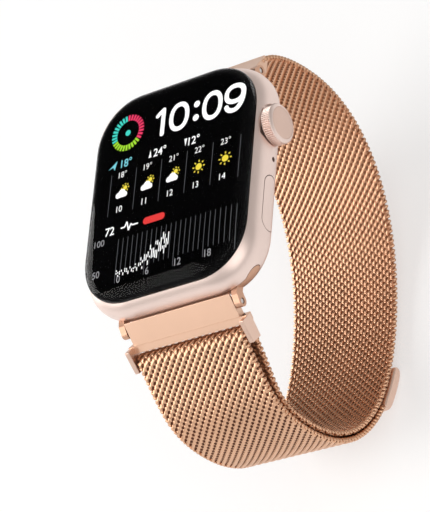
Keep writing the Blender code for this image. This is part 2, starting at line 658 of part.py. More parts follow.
def stretch(path, from_y, to_y):
    """The part of a path, going towards -Y, between two values of y."""
    kept = []
    for here, following in zip(path, path[1:]):
        for y in (from_y, to_y):
            if here.y > y >= following.y:
                kept.append(here.lerp(following, (here.y - y) / (here.y - following.y)))
        if from_y > following.y > to_y:
            kept.append(following)
    return kept


def trim_end(path, amount, last):
    """Moves one end of the path back along itself."""
    path = [point.copy() for point in path]
    end, neighbour = (path[-1], path[-2]) if last else (path[0], path[1])
    end += (neighbour - end).normalized() * amount
    return path


def build_mesh(gold, magnet, swing_axis):
    upper, lower, tail, bottom = loop_paths()
    half = MESH_THICK / 2
    make_object("band_mesh_upper", ribbon(trim_end(upper, JOINT_GAP, True), MESH_HALF_X, -half, half), gold, swing_axis)
    flex_axis = joint_empty("band_flex_axis", LOOP_FAR)
    make_object("band_mesh_lower", ribbon(trim_end(lower, JOINT_GAP, False), MESH_HALF_X, -half, half), gold, flex_axis)

    root = tail[0]
    tail_axis = joint_empty("clasp_peel_axis", root)
    clasp_path = stretch(bottom, CLASP_TO_Y, CLASP_FROM_Y)
    last = bottom[-1].y
    outer_bottom = offset_path(stretch(bottom, CLASP_FROM_Y - JOINT_GAP, last), LAYER_STEP)
    outer_bottom[-1] = tail[-1]
    tail = tail + list(reversed(outer_bottom))[1:]
    nose = []
    nose_half = []
    along = (tail[1] - tail[0]).normalized()
    for i in range(1, 5):
        angle = math.radians(90 * i / 5)
        nose.append(root - along * half * math.cos(angle))
        nose_half.append(half * math.sin(angle))
    halves = nose_half + [half] * len(tail)
    make_object(
        "band_mesh_tail", ribbon(nose + tail, MESH_HALF_X, [-h for h in halves], halves), gold, tail_axis,
    )

    count = len(clasp_path) - 1
    base = half + 0.16 * MM
    outer = [base + 1.25 * MM + 1.1 * MM * math.sin(math.pi * i / count) ** 0.5 for i in range(count + 1)]
    housing = make_object("clasp_housing", ribbon(clasp_path, MESH_HALF_X + 0.3 * MM, base, outer), gold, tail_axis)
    bevel(housing, 0.3 * MM, 2)
    inner_path = clasp_path[1:-1]
    room = ribbon(inner_path, 9.6 * MM, base - 0.5 * MM, base + 1.35 * MM)
    boolean(housing, "DIFFERENCE", room, "magnet_room")
    magnet_path = trim_end(trim_end(inner_path, 0.12 * MM, True), 0.12 * MM, False)
    block_shape = ribbon(magnet_path, 9.5 * MM, base, base + 1.25 * MM)
    make_object("clasp_magnet", block_shape, magnet, tail_axis)


def main():
    clear_scene()
    case_pink = make_material("anodised_pink_aluminium", (0.80, 0.66, 0.61), 0.32, 1.0)
    crown_pink = make_material("crown_cap_pink", (0.68, 0.48, 0.42), 0.35, 1.0)
    rose_gold = make_material("rose_gold_steel", (0.80, 0.55, 0.40), 0.22, 1.0)
    mesh_gold = make_material("rose_gold_mesh", (0.72, 0.45, 0.30), 0.30, 1.0)
    steel = make_material("plain_steel", (0.62, 0.62, 0.62), 0.30, 1.0)
    glass = make_material("black_cover_glass", (0.012, 0.012, 0.014), 0.05)
    back_glass = make_material("back_crystal_glass", (0.03, 0.03, 0.035), 0.08)
    panel = make_material("display_panel_black", (0.02, 0.02, 0.02), 0.25)
    rubber = make_material("black_seal_rubber", (0.02, 0.02, 0.02), 0.60)
    ceramic = make_material("back_ceramic", (0.62, 0.52, 0.48), 0.25)
    board = make_material("circuit_board_green", (0.03, 0.16, 0.08), 0.50)
    copper = make_material("copper_wire", (0.72, 0.34, 0.18), 0.35, 1.0)
    chip = make_material("chip_black", (0.04, 0.04, 0.045), 0.45)
    foil = make_material("battery_foil", (0.10, 0.10, 0.11), 0.40)
    magnet = make_material("nickel_magnet", (0.60, 0.58, 0.55), 0.25, 1.0)

    build_housing(case_pink)
    build_display(glass, rubber, panel, steel)
    build_back(ceramic, back_glass, rubber, board, copper)
    build_electronics(board, chip, steel, foil, chip)
    build_crown(case_pink, steel, rubber, chip, crown_pink)
    build_side_button(case_pink)
    for side, name in ((1, "upper"), (-1, "lower")):
        build_release(side, name, case_pink, steel)
        build_lug(side, name, rose_gold, steel)
    swing_axis = build_end_clamp(rose_gold)
    build_buckle(rose_gold, steel)
    build_mesh(mesh_gold, magnet, swing_axis)


main()
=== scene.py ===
import json
import math

import bmesh
import bpy
import numpy as np
from mathutils import Matrix, Vector


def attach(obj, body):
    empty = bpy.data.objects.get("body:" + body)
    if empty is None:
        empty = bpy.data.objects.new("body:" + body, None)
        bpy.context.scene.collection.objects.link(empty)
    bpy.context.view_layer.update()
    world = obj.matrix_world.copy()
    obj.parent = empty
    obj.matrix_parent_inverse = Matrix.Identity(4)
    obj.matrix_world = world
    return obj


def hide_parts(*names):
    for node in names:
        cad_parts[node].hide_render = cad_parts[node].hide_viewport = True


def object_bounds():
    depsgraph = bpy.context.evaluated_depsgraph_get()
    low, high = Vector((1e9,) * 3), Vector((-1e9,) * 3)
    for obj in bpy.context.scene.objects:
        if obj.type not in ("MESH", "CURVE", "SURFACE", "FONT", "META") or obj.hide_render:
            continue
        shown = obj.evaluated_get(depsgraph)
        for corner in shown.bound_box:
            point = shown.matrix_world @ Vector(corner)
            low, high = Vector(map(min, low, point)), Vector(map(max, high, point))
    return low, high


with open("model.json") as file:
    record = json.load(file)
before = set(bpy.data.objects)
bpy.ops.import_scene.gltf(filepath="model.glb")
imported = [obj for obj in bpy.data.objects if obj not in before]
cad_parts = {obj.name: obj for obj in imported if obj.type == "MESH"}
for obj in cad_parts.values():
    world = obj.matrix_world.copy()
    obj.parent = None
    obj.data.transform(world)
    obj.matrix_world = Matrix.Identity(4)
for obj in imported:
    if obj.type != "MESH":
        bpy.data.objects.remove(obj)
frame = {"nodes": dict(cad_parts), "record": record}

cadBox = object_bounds()
mm = 0.001


def linearColour(hexColour):
    # sRGB hex to linear: below 0.04045 divide by 12.92, above it the 2.4 power curve
    srgb = np.array([int(hexColour[i:i + 2], 16) for i in (1, 3, 5)]) / 255
    linear = np.where(srgb <= 0.04045, srgb / 12.92, ((srgb + 0.055) / 1.055) ** 2.4)
    return (*[float(c) for c in linear], 1.0)


def addNode(tree, kind, inputs=None, **settings):
    # a node with its settings; an input is a plain value, or a socket to link from
    made = tree.nodes.new(kind)
    for key, value in settings.items():
        setattr(made, key, value)
    for key, value in (inputs or {}).items():
        if isinstance(value, bpy.types.NodeSocket):
            tree.links.new(value, made.inputs[key])
        else:
            made.inputs[key].default_value = value
    return made


def startMaterial(name, **shaderInputs):
    material = bpy.data.materials.new(name)
    material.use_nodes = True
    tree = material.node_tree
    shader = tree.nodes["Principled BSDF"]
    for key, value in shaderInputs.items():
        shader.inputs[key.replace("_", " ")].default_value = value
    return material, tree, shader


def meshFrom(name, points, quads=None, polygons=None):
    # quads is an (m, 4) array; polygons is a list of longer faces
    mesh = bpy.data.meshes.new(name)
    quads = np.zeros((0, 4), int) if quads is None else np.asarray(quads).reshape(-1, 4)
    polygons = polygons or []
    counts = np.concatenate([np.full(len(quads), 4), [len(p) for p in polygons]]).astype(np.int32)
    corners = np.concatenate([quads.ravel(), *[np.asarray(p) for p in polygons]]).astype(np.int32)
    mesh.vertices.add(len(points))
    mesh.vertices.foreach_set("co", np.asarray(points, np.float32).ravel())
    mesh.loops.add(len(corners))
    mesh.loops.foreach_set("vertex_index", corners)
    mesh.polygons.add(len(counts))
    mesh.polygons.foreach_set("loop_start", np.concatenate([[0], np.cumsum(counts)[:-1]]).astype(np.int32))
    mesh.polygons.foreach_set("loop_total", counts)
    mesh.update(calc_edges=True)
    mesh.validate()
    return mesh


def objectFrom(name, mesh, sharpDegrees=35):
    mesh.shade_smooth()
    mesh.set_sharp_from_angle(angle=math.radians(sharpDegrees))
    made = bpy.data.objects.new(name, mesh)
    bpy.context.scene.collection.objects.link(made)
    return made


def solid(shape, name, *sizes, sharp=35):
    # a mesh of one of the shapes below, already in the scene as an object
    return objectFrom(name, shape(name, *sizes), sharp)


def placePiece(piece, finish, body, nodes):
    # gives a piece its finish and the body it rides on, and hides the CAD nodes it stands for
    piece.data.materials.clear()
    piece.data.materials.append(finishes[finish])
    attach(piece, body)
    if nodes:
        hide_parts(*nodes)


def loftMesh(name, rings):
    # rings is (rows, columns, 3): each row a closed ring, joined to the next, capped at both ends
    rows, columns = rings.shape[:2]
    row = np.arange(rows - 1)[:, None] * columns
    column = np.arange(columns)[None, :]
    nextColumn = (column + 1) % columns
    quads = np.stack([
        row + column, row + nextColumn, row + columns + nextColumn, row + columns + column], -1)
    caps = [np.arange(columns)[::-1], np.arange(columns) + (rows - 1) * columns]
    mesh = meshFrom(name, rings.reshape(-1, 3), quads, caps)
    shape = bmesh.new()
    shape.from_mesh(mesh)
    if shape.calc_volume(signed=True) < 0:
        bmesh.ops.reverse_faces(shape, faces=shape.faces)
    shape.to_mesh(mesh)
    shape.free()
    return mesh


def carve(piece, cutters, operation="DIFFERENCE"):
    # runs exact Booleans and keeps the result as the piece's own mesh
    for cutter in cutters:
        modifier = piece.modifiers.new("cut", "BOOLEAN")
        modifier.operation = operation
        modifier.solver = "EXACT"
        modifier.object = cutter
    bpy.context.view_layer.update()
    evaluated = piece.evaluated_get(bpy.context.evaluated_depsgraph_get())
    result = bpy.data.meshes.new_from_object(evaluated)
    piece.modifiers.clear()
    piece.data = result
    result.shade_smooth()
    result.set_sharp_from_angle(angle=math.radians(28))
    for cutter in cutters:
        bpy.data.objects.remove(cutter)
    return piece


def softenEdges(piece, width, segments=3):
    modifier = piece.modifiers.new("edge", "BEVEL")
    modifier.width = width
    modifier.segments = segments
    modifier.limit_method = "ANGLE"
    modifier.angle_limit = math.radians(30)
    modifier.harden_normals = True
    return piece


def outlineOf(halfX, halfY, radius, perCorner=40, power=2.2):
    # rounded rectangle: each corner is a superellipse quarter, |x|^power + |y|^power = radius^power
    angle = np.linspace(0, np.pi / 2, perCorner)
    reachX = radius * np.cos(angle) ** (2 / power)
    reachY = radius * np.sin(angle) ** (2 / power)
    first = np.stack([halfX - radius + reachX, halfY - radius + reachY], -1)
    second = np.stack([-first[::-1, 0], first[::-1, 1]], -1)
    return np.concatenate([first, second, -first, -second])


def wallRings(halfX, halfY, heights, insets, radii, perCorner=40):
    # a body whose wall follows (height, inset, corner radius) triples, all in metres
    rings = []
    for height, inset, radius in zip(heights, insets, radii):
        flat = outlineOf(halfX - inset, halfY - inset, radius, perCorner)
        rings.append(np.column_stack([flat, np.full(len(flat), height)]))
    return np.array(rings)


def rodMesh(name, radius, start, end, steps=64, tips=0.0):
    # a round rod between two points, with chamfered tips when tips is above 0
    start, end = np.array(start, float), np.array(end, float)
    along = (end - start) / np.linalg.norm(end - start)
    side = np.cross(along, [0.31, 0.52, 0.79])
    side /= np.linalg.norm(side)
    other = np.cross(along, side)
    angle = np.linspace(0, 2 * np.pi, steps, endpoint=False)[:, None]
    ring = np.cos(angle) * side + np.sin(angle) * other
    stations = [(0, radius - tips), (tips, radius)] if tips else [(0, radius)]
    length = np.linalg.norm(end - start)
    stations += [(length - at, reach) for at, reach in reversed(stations)]
    return loftMesh(name, np.array([start + along * at + ring * reach for at, reach in stations]))


def turnedMesh(name, profile, centre, axis, steps=160):
    # solid of revolution: profile is (radius, height) pairs along the axis, the ends closed by flat caps
    profile = np.array(profile)
    angle = np.linspace(0, 2 * np.pi, steps, endpoint=False)
    c, s = np.cos(angle)[None, :], np.sin(angle)[None, :]
    radius, height = profile[:, :1], profile[:, 1:]
    flat = np.ones_like(c)
    if axis == "X":
        rings = np.stack([height * flat, radius * c, radius * s], -1)
    else:
        rings = np.stack([radius * c, radius * s, height * flat], -1)
    return loftMesh(name, rings + np.array(centre))


def prismAlongX(name, outline, lowX, highX):
    # a (y, z) outline carried along X
    outline = np.array(outline)
    rings = [np.column_stack([np.full(len(outline), x), outline]) for x in (lowX, highX)]
    return loftMesh(name, np.array(rings))


def pillOutline(halfLength, halfWidth, steps=96):
    angle = (np.arange(steps) + 0.5) / steps * 2 * np.pi
    shift = np.sign(np.cos(angle)) * (halfLength - halfWidth)
    return np.column_stack([shift + halfWidth * np.cos(angle), halfWidth * np.sin(angle)])


def pillMesh(name, centre, halfLength, halfWidth, low, high, normal, rim=0.0):
    # round-ended bar: rings are inset by rim at the ends for a soft edge
    levels = [(low, 0), (high, 0)]
    if rim:
        levels = [(low, 0), (high - rim, 0), (high - rim * 0.3, rim * 0.3), (high, rim)]
    rings = []
    for level, inset in levels:
        flat = pillOutline(halfLength - inset, halfWidth - inset) + np.array(centre)
        column = np.full(len(flat), level)
        order = [column, flat[:, 0], flat[:, 1]] if normal == "X" else [flat[:, 0], flat[:, 1], column]
        rings.append(np.column_stack(order))
    return loftMesh(name, np.array(rings))


camera = {
    "position": (0.2533, -0.2192, 0.2984),
    "right": (0.7900, 0.0758, -0.6084),
    "up": (0.2370, 0.8775, 0.4170),
    "lens": 191.5,
}
right = Vector(camera["right"]).normalized()
up = (Vector(camera["up"]) - right * right.dot(Vector(camera["up"]))).normalized()
back = right.cross(up)
lens = bpy.data.cameras.new("camera")
lens.lens = camera["lens"]
lens.sensor_width = 36
lens.clip_start = 0.01
lens.clip_end = 20
cameraObject = bpy.data.objects.new("camera", lens)
turn = Matrix((right, up, back)).transposed()
cameraObject.matrix_world = Matrix.Translation(camera["position"]) @ turn.to_4x4()
bpy.context.scene.collection.objects.link(cameraObject)
bpy.context.scene.camera = cameraObject

studio = {
    "floorDrop": 0.3 * mm,      # floor below the lowest point of the strap
    "floorHalf": 3.0,
    "floorColour": "#BCBCBC",
    "floorGlow": 0.52,
    "worldColour": (1.0, 0.99, 0.98, 1.0),
    "worldPower": 0.50,
    "lampColour": (1.0, 0.985, 0.97),
    # name, place, the point it faces, side of its square and power in watts
    "lamps": [
        ("cameraSoftbox", (0.52, -0.50, 0.62), (0, 0, -0.01), 0.75, 2.2),
        ("overLeftSoftbox", (-0.62, -0.36, 0.66), (0, 0.01, -0.02), 0.80, 6.4),
        ("leftBackSoftbox", (-0.85, 0.20, 0.20), (0, 0, -0.03), 0.50, 2.6),
    ],
    # the flat of the glass mirrors this side of the room, so it is dark there: the cosines are
    # of the angles off that direction where the shade starts and where it is full
    "cardDirection": (-0.5655, 0.4736, 0.6752),
    "cardEdge": 0.66, "cardMiddle": 0.94, "cardShade": 0.10,
}


def buildStudio():
    half = studio["floorHalf"]
    low = cadBox[0].z - studio["floorDrop"]
    corners = np.array([(-half, -half, low), (half, -half, low), (half, half, low), (-half, half, low)])
    floor = objectFrom("floor", meshFrom("floor", corners, [[0, 1, 2, 3]]))
    # painted board: no gloss, and it glows a little so that shadows stay faint
    material = startMaterial(
        "matteWhitePaint",
        Base_Color=linearColour(studio["floorColour"]), Roughness=0.9, Specular_IOR_Level=0.1,
        Emission_Color=(1, 1, 1, 1), Emission_Strength=studio["floorGlow"])[0]
    floor.data.materials.append(material)
    for name, place, target, size, power in studio["lamps"]:
        lamp = bpy.data.lights.new(name, "AREA")
        lamp.shape = "SQUARE"
        lamp.size = size
        lamp.energy = power
        lamp.color = studio["lampColour"]
        lampObject = bpy.data.objects.new(name, lamp)
        aim = Vector(target) - Vector(place)
        lampObject.location = place
        lampObject.rotation_euler = aim.to_track_quat("-Z", "Y").to_euler()
        bpy.context.scene.collection.objects.link(lampObject)
    world = bpy.data.worlds.new("studioWorld")
    bpy.context.scene.world = world
    world.use_nodes = True
    tree = world.node_tree
    background = tree.nodes["Background"]
    direction = addNode(tree, "ShaderNodeTexCoord").outputs["Generated"]
    card = addNode(tree, "ShaderNodeVectorMath", {
        0: direction, 1: studio["cardDirection"]}, operation="DOT_PRODUCT")
    edge, middle = studio["cardEdge"], studio["cardMiddle"]
    shade = addNode(tree, "ShaderNodeMapRange", {
        "Value": card.outputs["Value"], "From Min": edge, "From Max": middle,
        "To Min": 1.0, "To Max": studio["cardShade"]}, interpolation_type="SMOOTHSTEP")
    strength = addNode(tree, "ShaderNodeMath", {
        0: shade.outputs["Result"], 1: studio["worldPower"]}, operation="MULTIPLY")
    background.inputs["Color"].default_value = studio["worldColour"]
    tree.links.new(strength.outputs[0], background.inputs["Strength"])


buildStudio()
bpy.context.scene.view_settings.view_transform = "Standard"     # plain sRGB, so a white floor stays white
print("studio ready")


finishes = {}


def grainMaterial(name, colour, roughness, metallic, grain, relief, spread, stretch=(1, 1, 1), **more):
    # colour and roughness wander a little, and grain of the given size in metres lifts the surface
    material, tree, shader = startMaterial(name, Metallic=metallic, **more)
    place = addNode(tree, "ShaderNodeTexCoord").outputs["Object"]
    scaled = addNode(tree, "ShaderNodeMapping", {"Vector": place, "Scale": stretch}).outputs["Vector"]
    fine = addNode(tree, "ShaderNodeTexNoise", {"Vector": scaled, "Scale": 1 / grain, "Detail": 2.0})
    wide = addNode(tree, "ShaderNodeTexNoise", {"Vector": place, "Scale": 120.0, "Detail": 3.0})
    tint = addNode(tree, "ShaderNodeMapRange", {
        "Value": wide.outputs["Fac"], "From Min": 0.3, "From Max": 0.7,
        "To Min": 1 - spread, "To Max": 1 + spread})
    shaded = addNode(tree, "ShaderNodeVectorMath", {
        0: linearColour(colour)[:3], "Scale": tint.outputs["Result"]}, operation="SCALE")
    tree.links.new(shaded.outputs[0], shader.inputs["Base Color"])
    rough = addNode(tree, "ShaderNodeMapRange", {
        "Value": fine.outputs["Fac"], "From Min": 0.3, "From Max": 0.7,
        "To Min": roughness * 0.9, "To Max": min(1, roughness * 1.12)})
    tree.links.new(rough.outputs["Result"], shader.inputs["Roughness"])
    bump = addNode(tree, "ShaderNodeBump", {
        "Height": fine.outputs["Fac"], "Strength": 1.0, "Distance": relief})
    tree.links.new(bump.outputs["Normal"], shader.inputs["Normal"])
    finishes[name] = material


# blasted and anodised aluminium: soft broad highlights, a faint sparkle of grain
grainMaterial("blastedPinkAluminium", "#EAD5CC", 0.38, 1.0, 0.09 * mm, 0.0012 * mm, 0.02)
# the same metal with a deeper dye on the crown's flat
grainMaterial("satinCrownCap", "#DCC0B2", 0.45, 1.0, 0.09 * mm, 0.001 * mm, 0.02)
# stainless steel with a rose gold vapour coating, satin brushed across the strap
grainMaterial("satinRoseGoldSteel", "#DAB59D", 0.36, 1.0, 0.12 * mm, 0.0008 * mm, 0.03, (0.08, 1, 1))
# the same steel painted lighter, as painted light, for the buckle arms and the clasp
grainMaterial("paintedLighterRoseGoldSteel", "#E6C6B4", 0.36, 1.0, 0.12 * mm, 0.0008 * mm, 0.03, (0.08, 1, 1))
# the lug: rougher than the plate, and painted darker than the strap's steel as painted shade, so that it
# stays quiet beside the plate
grainMaterial("paintedShadeRoseGoldSteel", "#CFA58C", 0.5, 1.0, 0.12 * mm, 0.001 * mm, 0.03)
# drawn round wire, coated after weaving: a clean streak of light along each strand
grainMaterial("roseGoldWire", "#DEB08F", 0.34, 1.0, 0.15 * mm, 0.0008 * mm, 0.06)
# painted shade: a sheet in the middle of the weave, where wires cross, carries the colour of the shade there;
# it is darker under the tail, where two layers lie, and a lighter copy on the band is painted light for its
# inner face
grainMaterial("paintedShadeWeaveCore", "#6A3C24", 0.7, 0.0, 0.2 * mm, 0.002 * mm, 0.15)
grainMaterial("paintedLighterShadeWeaveCore", "#A06C4A", 0.7, 0.0, 0.2 * mm, 0.002 * mm, 0.15)
grainMaterial("turnedSteel", "#C9C6C3", 0.28, 1.0, 0.1 * mm, 0.0008 * mm, 0.03)
# fired ceramic: hard, smooth, a little milky
grainMaterial("polishedCeramic", "#DCC3B8", 0.18, 0.0, 0.1 * mm, 0.0003 * mm, 0.02)
grainMaterial("sealRubber", "#15120F", 0.65, 0.0, 0.1 * mm, 0.002 * mm, 0.1)
grainMaterial("solderMask", "#1F5A34", 0.45, 0.0, 0.4 * mm, 0.01 * mm, 0.12)
grainMaterial("copperWinding", "#C87B4A", 0.35, 1.0, 0.1 * mm, 0.002 * mm, 0.08)
grainMaterial("mouldedBlack", "#1B1B1D", 0.5, 0.0, 0.15 * mm, 0.002 * mm, 0.1)
grainMaterial("batteryPouch", "#3A3A3E", 0.4, 0.2, 0.5 * mm, 0.006 * mm, 0.1)
grainMaterial("nickelPlate", "#C4BEB6", 0.2, 1.0, 0.1 * mm, 0.0005 * mm, 0.04)
# bonded glass stack under the cover: deep black, no grain that shows
grainMaterial("screenBlack", "#020203", 0.12, 0.0, 0.1 * mm, 0.0001 * mm, 0.02, Specular_IOR_Level=0.02)
# the dark glass of the sensor window
grainMaterial("sensorGlass", "#0B0B10", 0.06, 0.0, 0.5 * mm, 0.0001 * mm, 0.05)


def clearGlass(name):
    # polished cover with an anti-glare coating, so it mirrors less than plain glass
    finishes[name] = startMaterial(
        name, Base_Color=(1, 1, 1, 1), Roughness=0.02, IOR=1.15, Transmission_Weight=1.0)[0]


def screenLight(name, colour, strength=1.0):
    # lit dots of the display: even glow, no gloss of their own
    finishes[name] = startMaterial(
        name, Base_Color=(0, 0, 0, 1), Roughness=1.0, Specular_IOR_Level=0.0,
        Emission_Color=linearColour(colour), Emission_Strength=strength)[0]


clearGlass("clearCoverGlass")
screenLight("litWhite", "#FFFFFF", 1.15)
screenLight("litGrey", "#9A9A9E")
screenLight("litDimGrey", "#5A5B5F", 0.9)
screenLight("litCyan", "#7FD6E4")
screenLight("litYellow", "#F4E04A")
screenLight("litRed", "#E8413F")
screenLight("litRose", "#F0406A")
screenLight("litTeal", "#46D8C8")
screenLight("litLime", "#A8E23A")

slotFinish = {
    "anodised_pink_aluminium": "blastedPinkAluminium", "crown_cap_pink": "satinCrownCap",
    "rose_gold_steel": "satinRoseGoldSteel", "rose_gold_mesh": "roseGoldWire",
    "plain_steel": "turnedSteel", "black_cover_glass": "clearCoverGlass",
    "back_crystal_glass": "sensorGlass", "display_panel_black": "screenBlack",
    "black_seal_rubber": "sealRubber", "back_ceramic": "polishedCeramic",
    "circuit_board_green": "solderMask", "copper_wire": "copperWinding",
    "chip_black": "mouldedBlack", "battery_foil": "batteryPouch", "nickel_magnet": "nickelPlate",
}
slotOf = {part["node"]: part["material_slot"] for part in frame["record"]["subparts"]}
for nodeName, nodeObject in frame["nodes"].items():
    nodeObject.data.materials.clear()
    nodeObject.data.materials.append(finishes[slotFinish[slotOf[nodeName]]])
print("materials ready")


case = {
    "halfX": 17.5 * mm, "halfY": 20.5 * mm,
    "widest": 4.9 * mm, "bottom": 1.1 * mm, "rim": 8.33 * mm,
    "rimInset": 1.12 * mm, "bottomInset": 3.7 * mm,
    "cornerWidest": 9.4 * mm, "cornerRim": 9.3 * mm, "cornerBottom": 6.0 * mm,
    "channelY": 17.9 * mm, "channelZ": 3.55 * mm, "channelRadius": 1.3 * mm, "channelMouth": 0.88 * mm,
    # rooms cut out of the shell: half x, half y, from height, to height, corner radius, corner steps
    "backRoom": (12.8 * mm, 14.4 * mm, 0, 3 * mm, 7 * mm, 24),
    "middleRoom": (15.0 * mm, 15.2 * mm, 2.9 * mm, 6.5 * mm, 6.5 * mm, 16),
    "screenRoom": (15.2 * mm, 18.2 * mm, 6.3 * mm, 9 * mm, 9 * mm, 16),
    "crownY": 7.9 * mm, "crownZ": 4.9 * mm, "crownPocket": 3.62 * mm, "crownBore": 2.1 * mm,
    "keyY": -6.2 * mm, "keyZ": 4.3 * mm, "keyHalfLength": 4.9 * mm, "keyHalfHeight": 1.7 * mm,
    "keyGap": 0.13 * mm,
    "holeY": 1.9 * mm, "holeZ": 4.3 * mm, "holeRadius": 0.42 * mm, "boreStart": 14 * mm,
    "speakerY": 2.9 * mm, "speakerZ": 4.6 * mm, "speakerHalf": 2.3 * mm,
    "releaseY": 16.6 * mm, "releaseZ": 1.12 * mm, "releaseHalf": 2.95 * mm, "releaseHalfWidth": 0.82 * mm,
    "releaseGap": 0.10 * mm,
}


def caseWall(shrink=0.0, perCorner=40):
    # the wall is two superellipse quarters: a shallow one up to the rim and a deep one down to the back
    upper = np.linspace(1, 0, 14) ** 0.8
    lower = np.linspace(0, np.pi / 2, 22)[1:]
    upHeights = case["widest"] + (case["rim"] - case["widest"]) * upper
    upInsets = case["rimInset"] * upper ** 2.6
    upRadii = case["cornerWidest"] + (case["cornerRim"] - case["cornerWidest"]) * upper
    drop = np.sin(lower) ** (2 / 2.1)
    share = 1 - np.cos(lower) ** (2 / 2.1)
    lowHeights = case["widest"] - (case["widest"] - case["bottom"]) * drop
    lowInsets = case["bottomInset"] * share
    lowRadii = case["cornerWidest"] + (case["cornerBottom"] - case["cornerWidest"]) * share
    heights = np.concatenate([upHeights, lowHeights])
    insets = np.concatenate([upInsets, lowInsets]) + shrink
    radii = np.concatenate([upRadii, lowRadii]) - shrink
    return wallRings(case["halfX"], case["halfY"], heights, insets, radii, perCorner)


def channelCutter(name, side):
    # keyhole: most of a circle, with a straight mouth to the outside
    radius, mouth = case["channelRadius"], case["channelMouth"]
    first = math.asin(mouth / radius)
    angle = np.linspace(first, 2 * np.pi - first, 60)
    middle, edgeY = case["channelZ"], case["halfY"]
    ring = np.column_stack([case["channelY"] + radius * np.cos(angle), middle + radius * np.sin(angle)])
    near, flare, far = edgeY - 0.15 * mm, edgeY + 0.04 * mm, edgeY + 2 * mm
    low, high = middle - mouth, middle + mouth
    edge = 0.05 * mm
    mouthPoints = [
        (near, low), (flare, low - edge), (far, low - edge),
        (far, high + edge), (flare, high + edge), (near, high)]
    outline = np.concatenate([ring, mouthPoints]) * np.array([side, 1])
    return solid(prismAlongX, name, outline, -case["halfX"] - mm, case["halfX"] + mm)


def roomCutter(name):
    halfX, halfY, low, high, corner, steps = case[name]
    return solid(loftMesh, name, wallRings(halfX, halfY, [low, high], [0, 0], [corner] * 2, steps))


def buildCase():
    shell = solid(loftMesh, "caseShell", caseWall())
    side = case["halfX"]
    out = side + 2 * mm
    start = case["boreStart"]
    crownAt, keyAt, holeAt = ((case[k + "Y"], case[k + "Z"]) for k in ("crown", "key", "hole"))
    pocket, chamfer = case["crownPocket"], 0.16 * mm
    pocketSteps = [
        (pocket, 16.9 * mm), (pocket, side - 0.25 * mm),
        (pocket + chamfer, side - 0.02 * mm), (pocket + chamfer, out)]
    keyLength, keyHeight = case["keyHalfLength"], case["keyHalfHeight"]
    gap = case["keyGap"]
    cutters = [
        roomCutter("backRoom"), roomCutter("screenRoom"),
        channelCutter("cutUpper", 1), channelCutter("cutLower", -1), roomCutter("middleRoom"),
        solid(turnedMesh, "cutCrown", pocketSteps, (0, *crownAt), "X", 128),
        solid(rodMesh, "cutShaft", case["crownBore"], (start, *crownAt), (out, *crownAt)),
        solid(pillMesh, "cutKey", keyAt, keyLength + gap, keyHeight + gap, 15.9 * mm, out, "X"),
        solid(rodMesh, "cutHole", case["holeRadius"], (start, *holeAt), (out, *holeAt), 32),
    ]
    for y in (-case["speakerY"], case["speakerY"]):
        cutters.append(solid(pillMesh, "cutSpeaker", (y, case["speakerZ"]), case["speakerHalf"],
                             case["holeRadius"], -out, -start, "X"))
    length, width, gap = case["releaseHalf"], case["releaseHalfWidth"], case["releaseGap"]
    for y in (case["releaseY"], -case["releaseY"]):
        cutters.append(solid(pillMesh, "cutRelease", (0, y), length + gap, width + gap, 0, 3.2 * mm, "Z"))
    carve(shell, cutters)
    placePiece(shell, "blastedPinkAluminium", "case", ["case_housing"])

    key = solid(pillMesh, "sideKey", keyAt, keyLength, keyHeight, 16.3 * mm, side + mm, "X")
    carve(key, [solid(loftMesh, "keyCurve", caseWall(0.02 * mm))], "INTERSECT")
    placePiece(key, "blastedPinkAluminium", "side_key", ["side_button"])
    for name, y in (("upper", case["releaseY"]), ("lower", -case["releaseY"])):
        release = solid(pillMesh, f"releaseKey_{name}", (0, y), length, width,
                        1.57 * mm, case["releaseZ"], "Z", -0.08 * mm)
        placePiece(release, "blastedPinkAluminium", f"release_key_{name}",
                   [f"release_button_{name}"])


buildCase()
print("case ready")


glass = {
    "halfX": 16.4 * mm, "halfY": 19.4 * mm,
    "foot": 8.42 * mm, "top": 10.7 * mm, "under": 8.80 * mm,
    "edgeReach": 5.2 * mm,      # how far the curved edge runs in from the side
    "footCorner": 9.3 * mm, "topCorner": 5.0 * mm,
    "band": 0.25 * mm,          # upright band under the curve
    "edgePower": 2.35,
    "stackLow": 8.34 * mm, "stackHigh": 8.40 * mm, "stackCorner": 9.2 * mm, "stackGap": 0.06 * mm,
}


def buildGlass():
    # edge section: a superellipse quarter from the upright side into the flat top
    turn = np.linspace(0, np.pi / 2, 40)
    power, start = 2 / glass["edgePower"], glass["foot"] + glass["band"]
    heights = start + (glass["top"] - start) * np.sin(turn) ** power
    insets = glass["edgeReach"] * (1 - np.cos(turn) ** power)
    radii = glass["footCorner"] + (glass["topCorner"] - glass["footCorner"]) * insets / glass["edgeReach"]
    heights = np.concatenate([[glass["under"] - 0.35 * mm], heights])
    insets = np.concatenate([[0.05 * mm], insets])
    radii = np.concatenate([[glass["footCorner"]], radii])
    cover = solid(loftMesh, "coverGlass", wallRings(
        glass["halfX"], glass["halfY"], heights, insets, radii), sharp=60)
    placePiece(cover, "clearCoverGlass", "case", ["front_crystal"])

    gap, heights = glass["stackGap"], [glass["stackLow"], glass["stackHigh"]]
    panel = solid(loftMesh, "displayStack", wallRings(
        glass["halfX"] - gap, glass["halfY"] - gap, heights, [0, 0], [glass["stackCorner"]] * 2))
    placePiece(panel, "screenBlack", "case",
               ["display_panel", "display_shield", "crystal_seal"])


buildGlass()


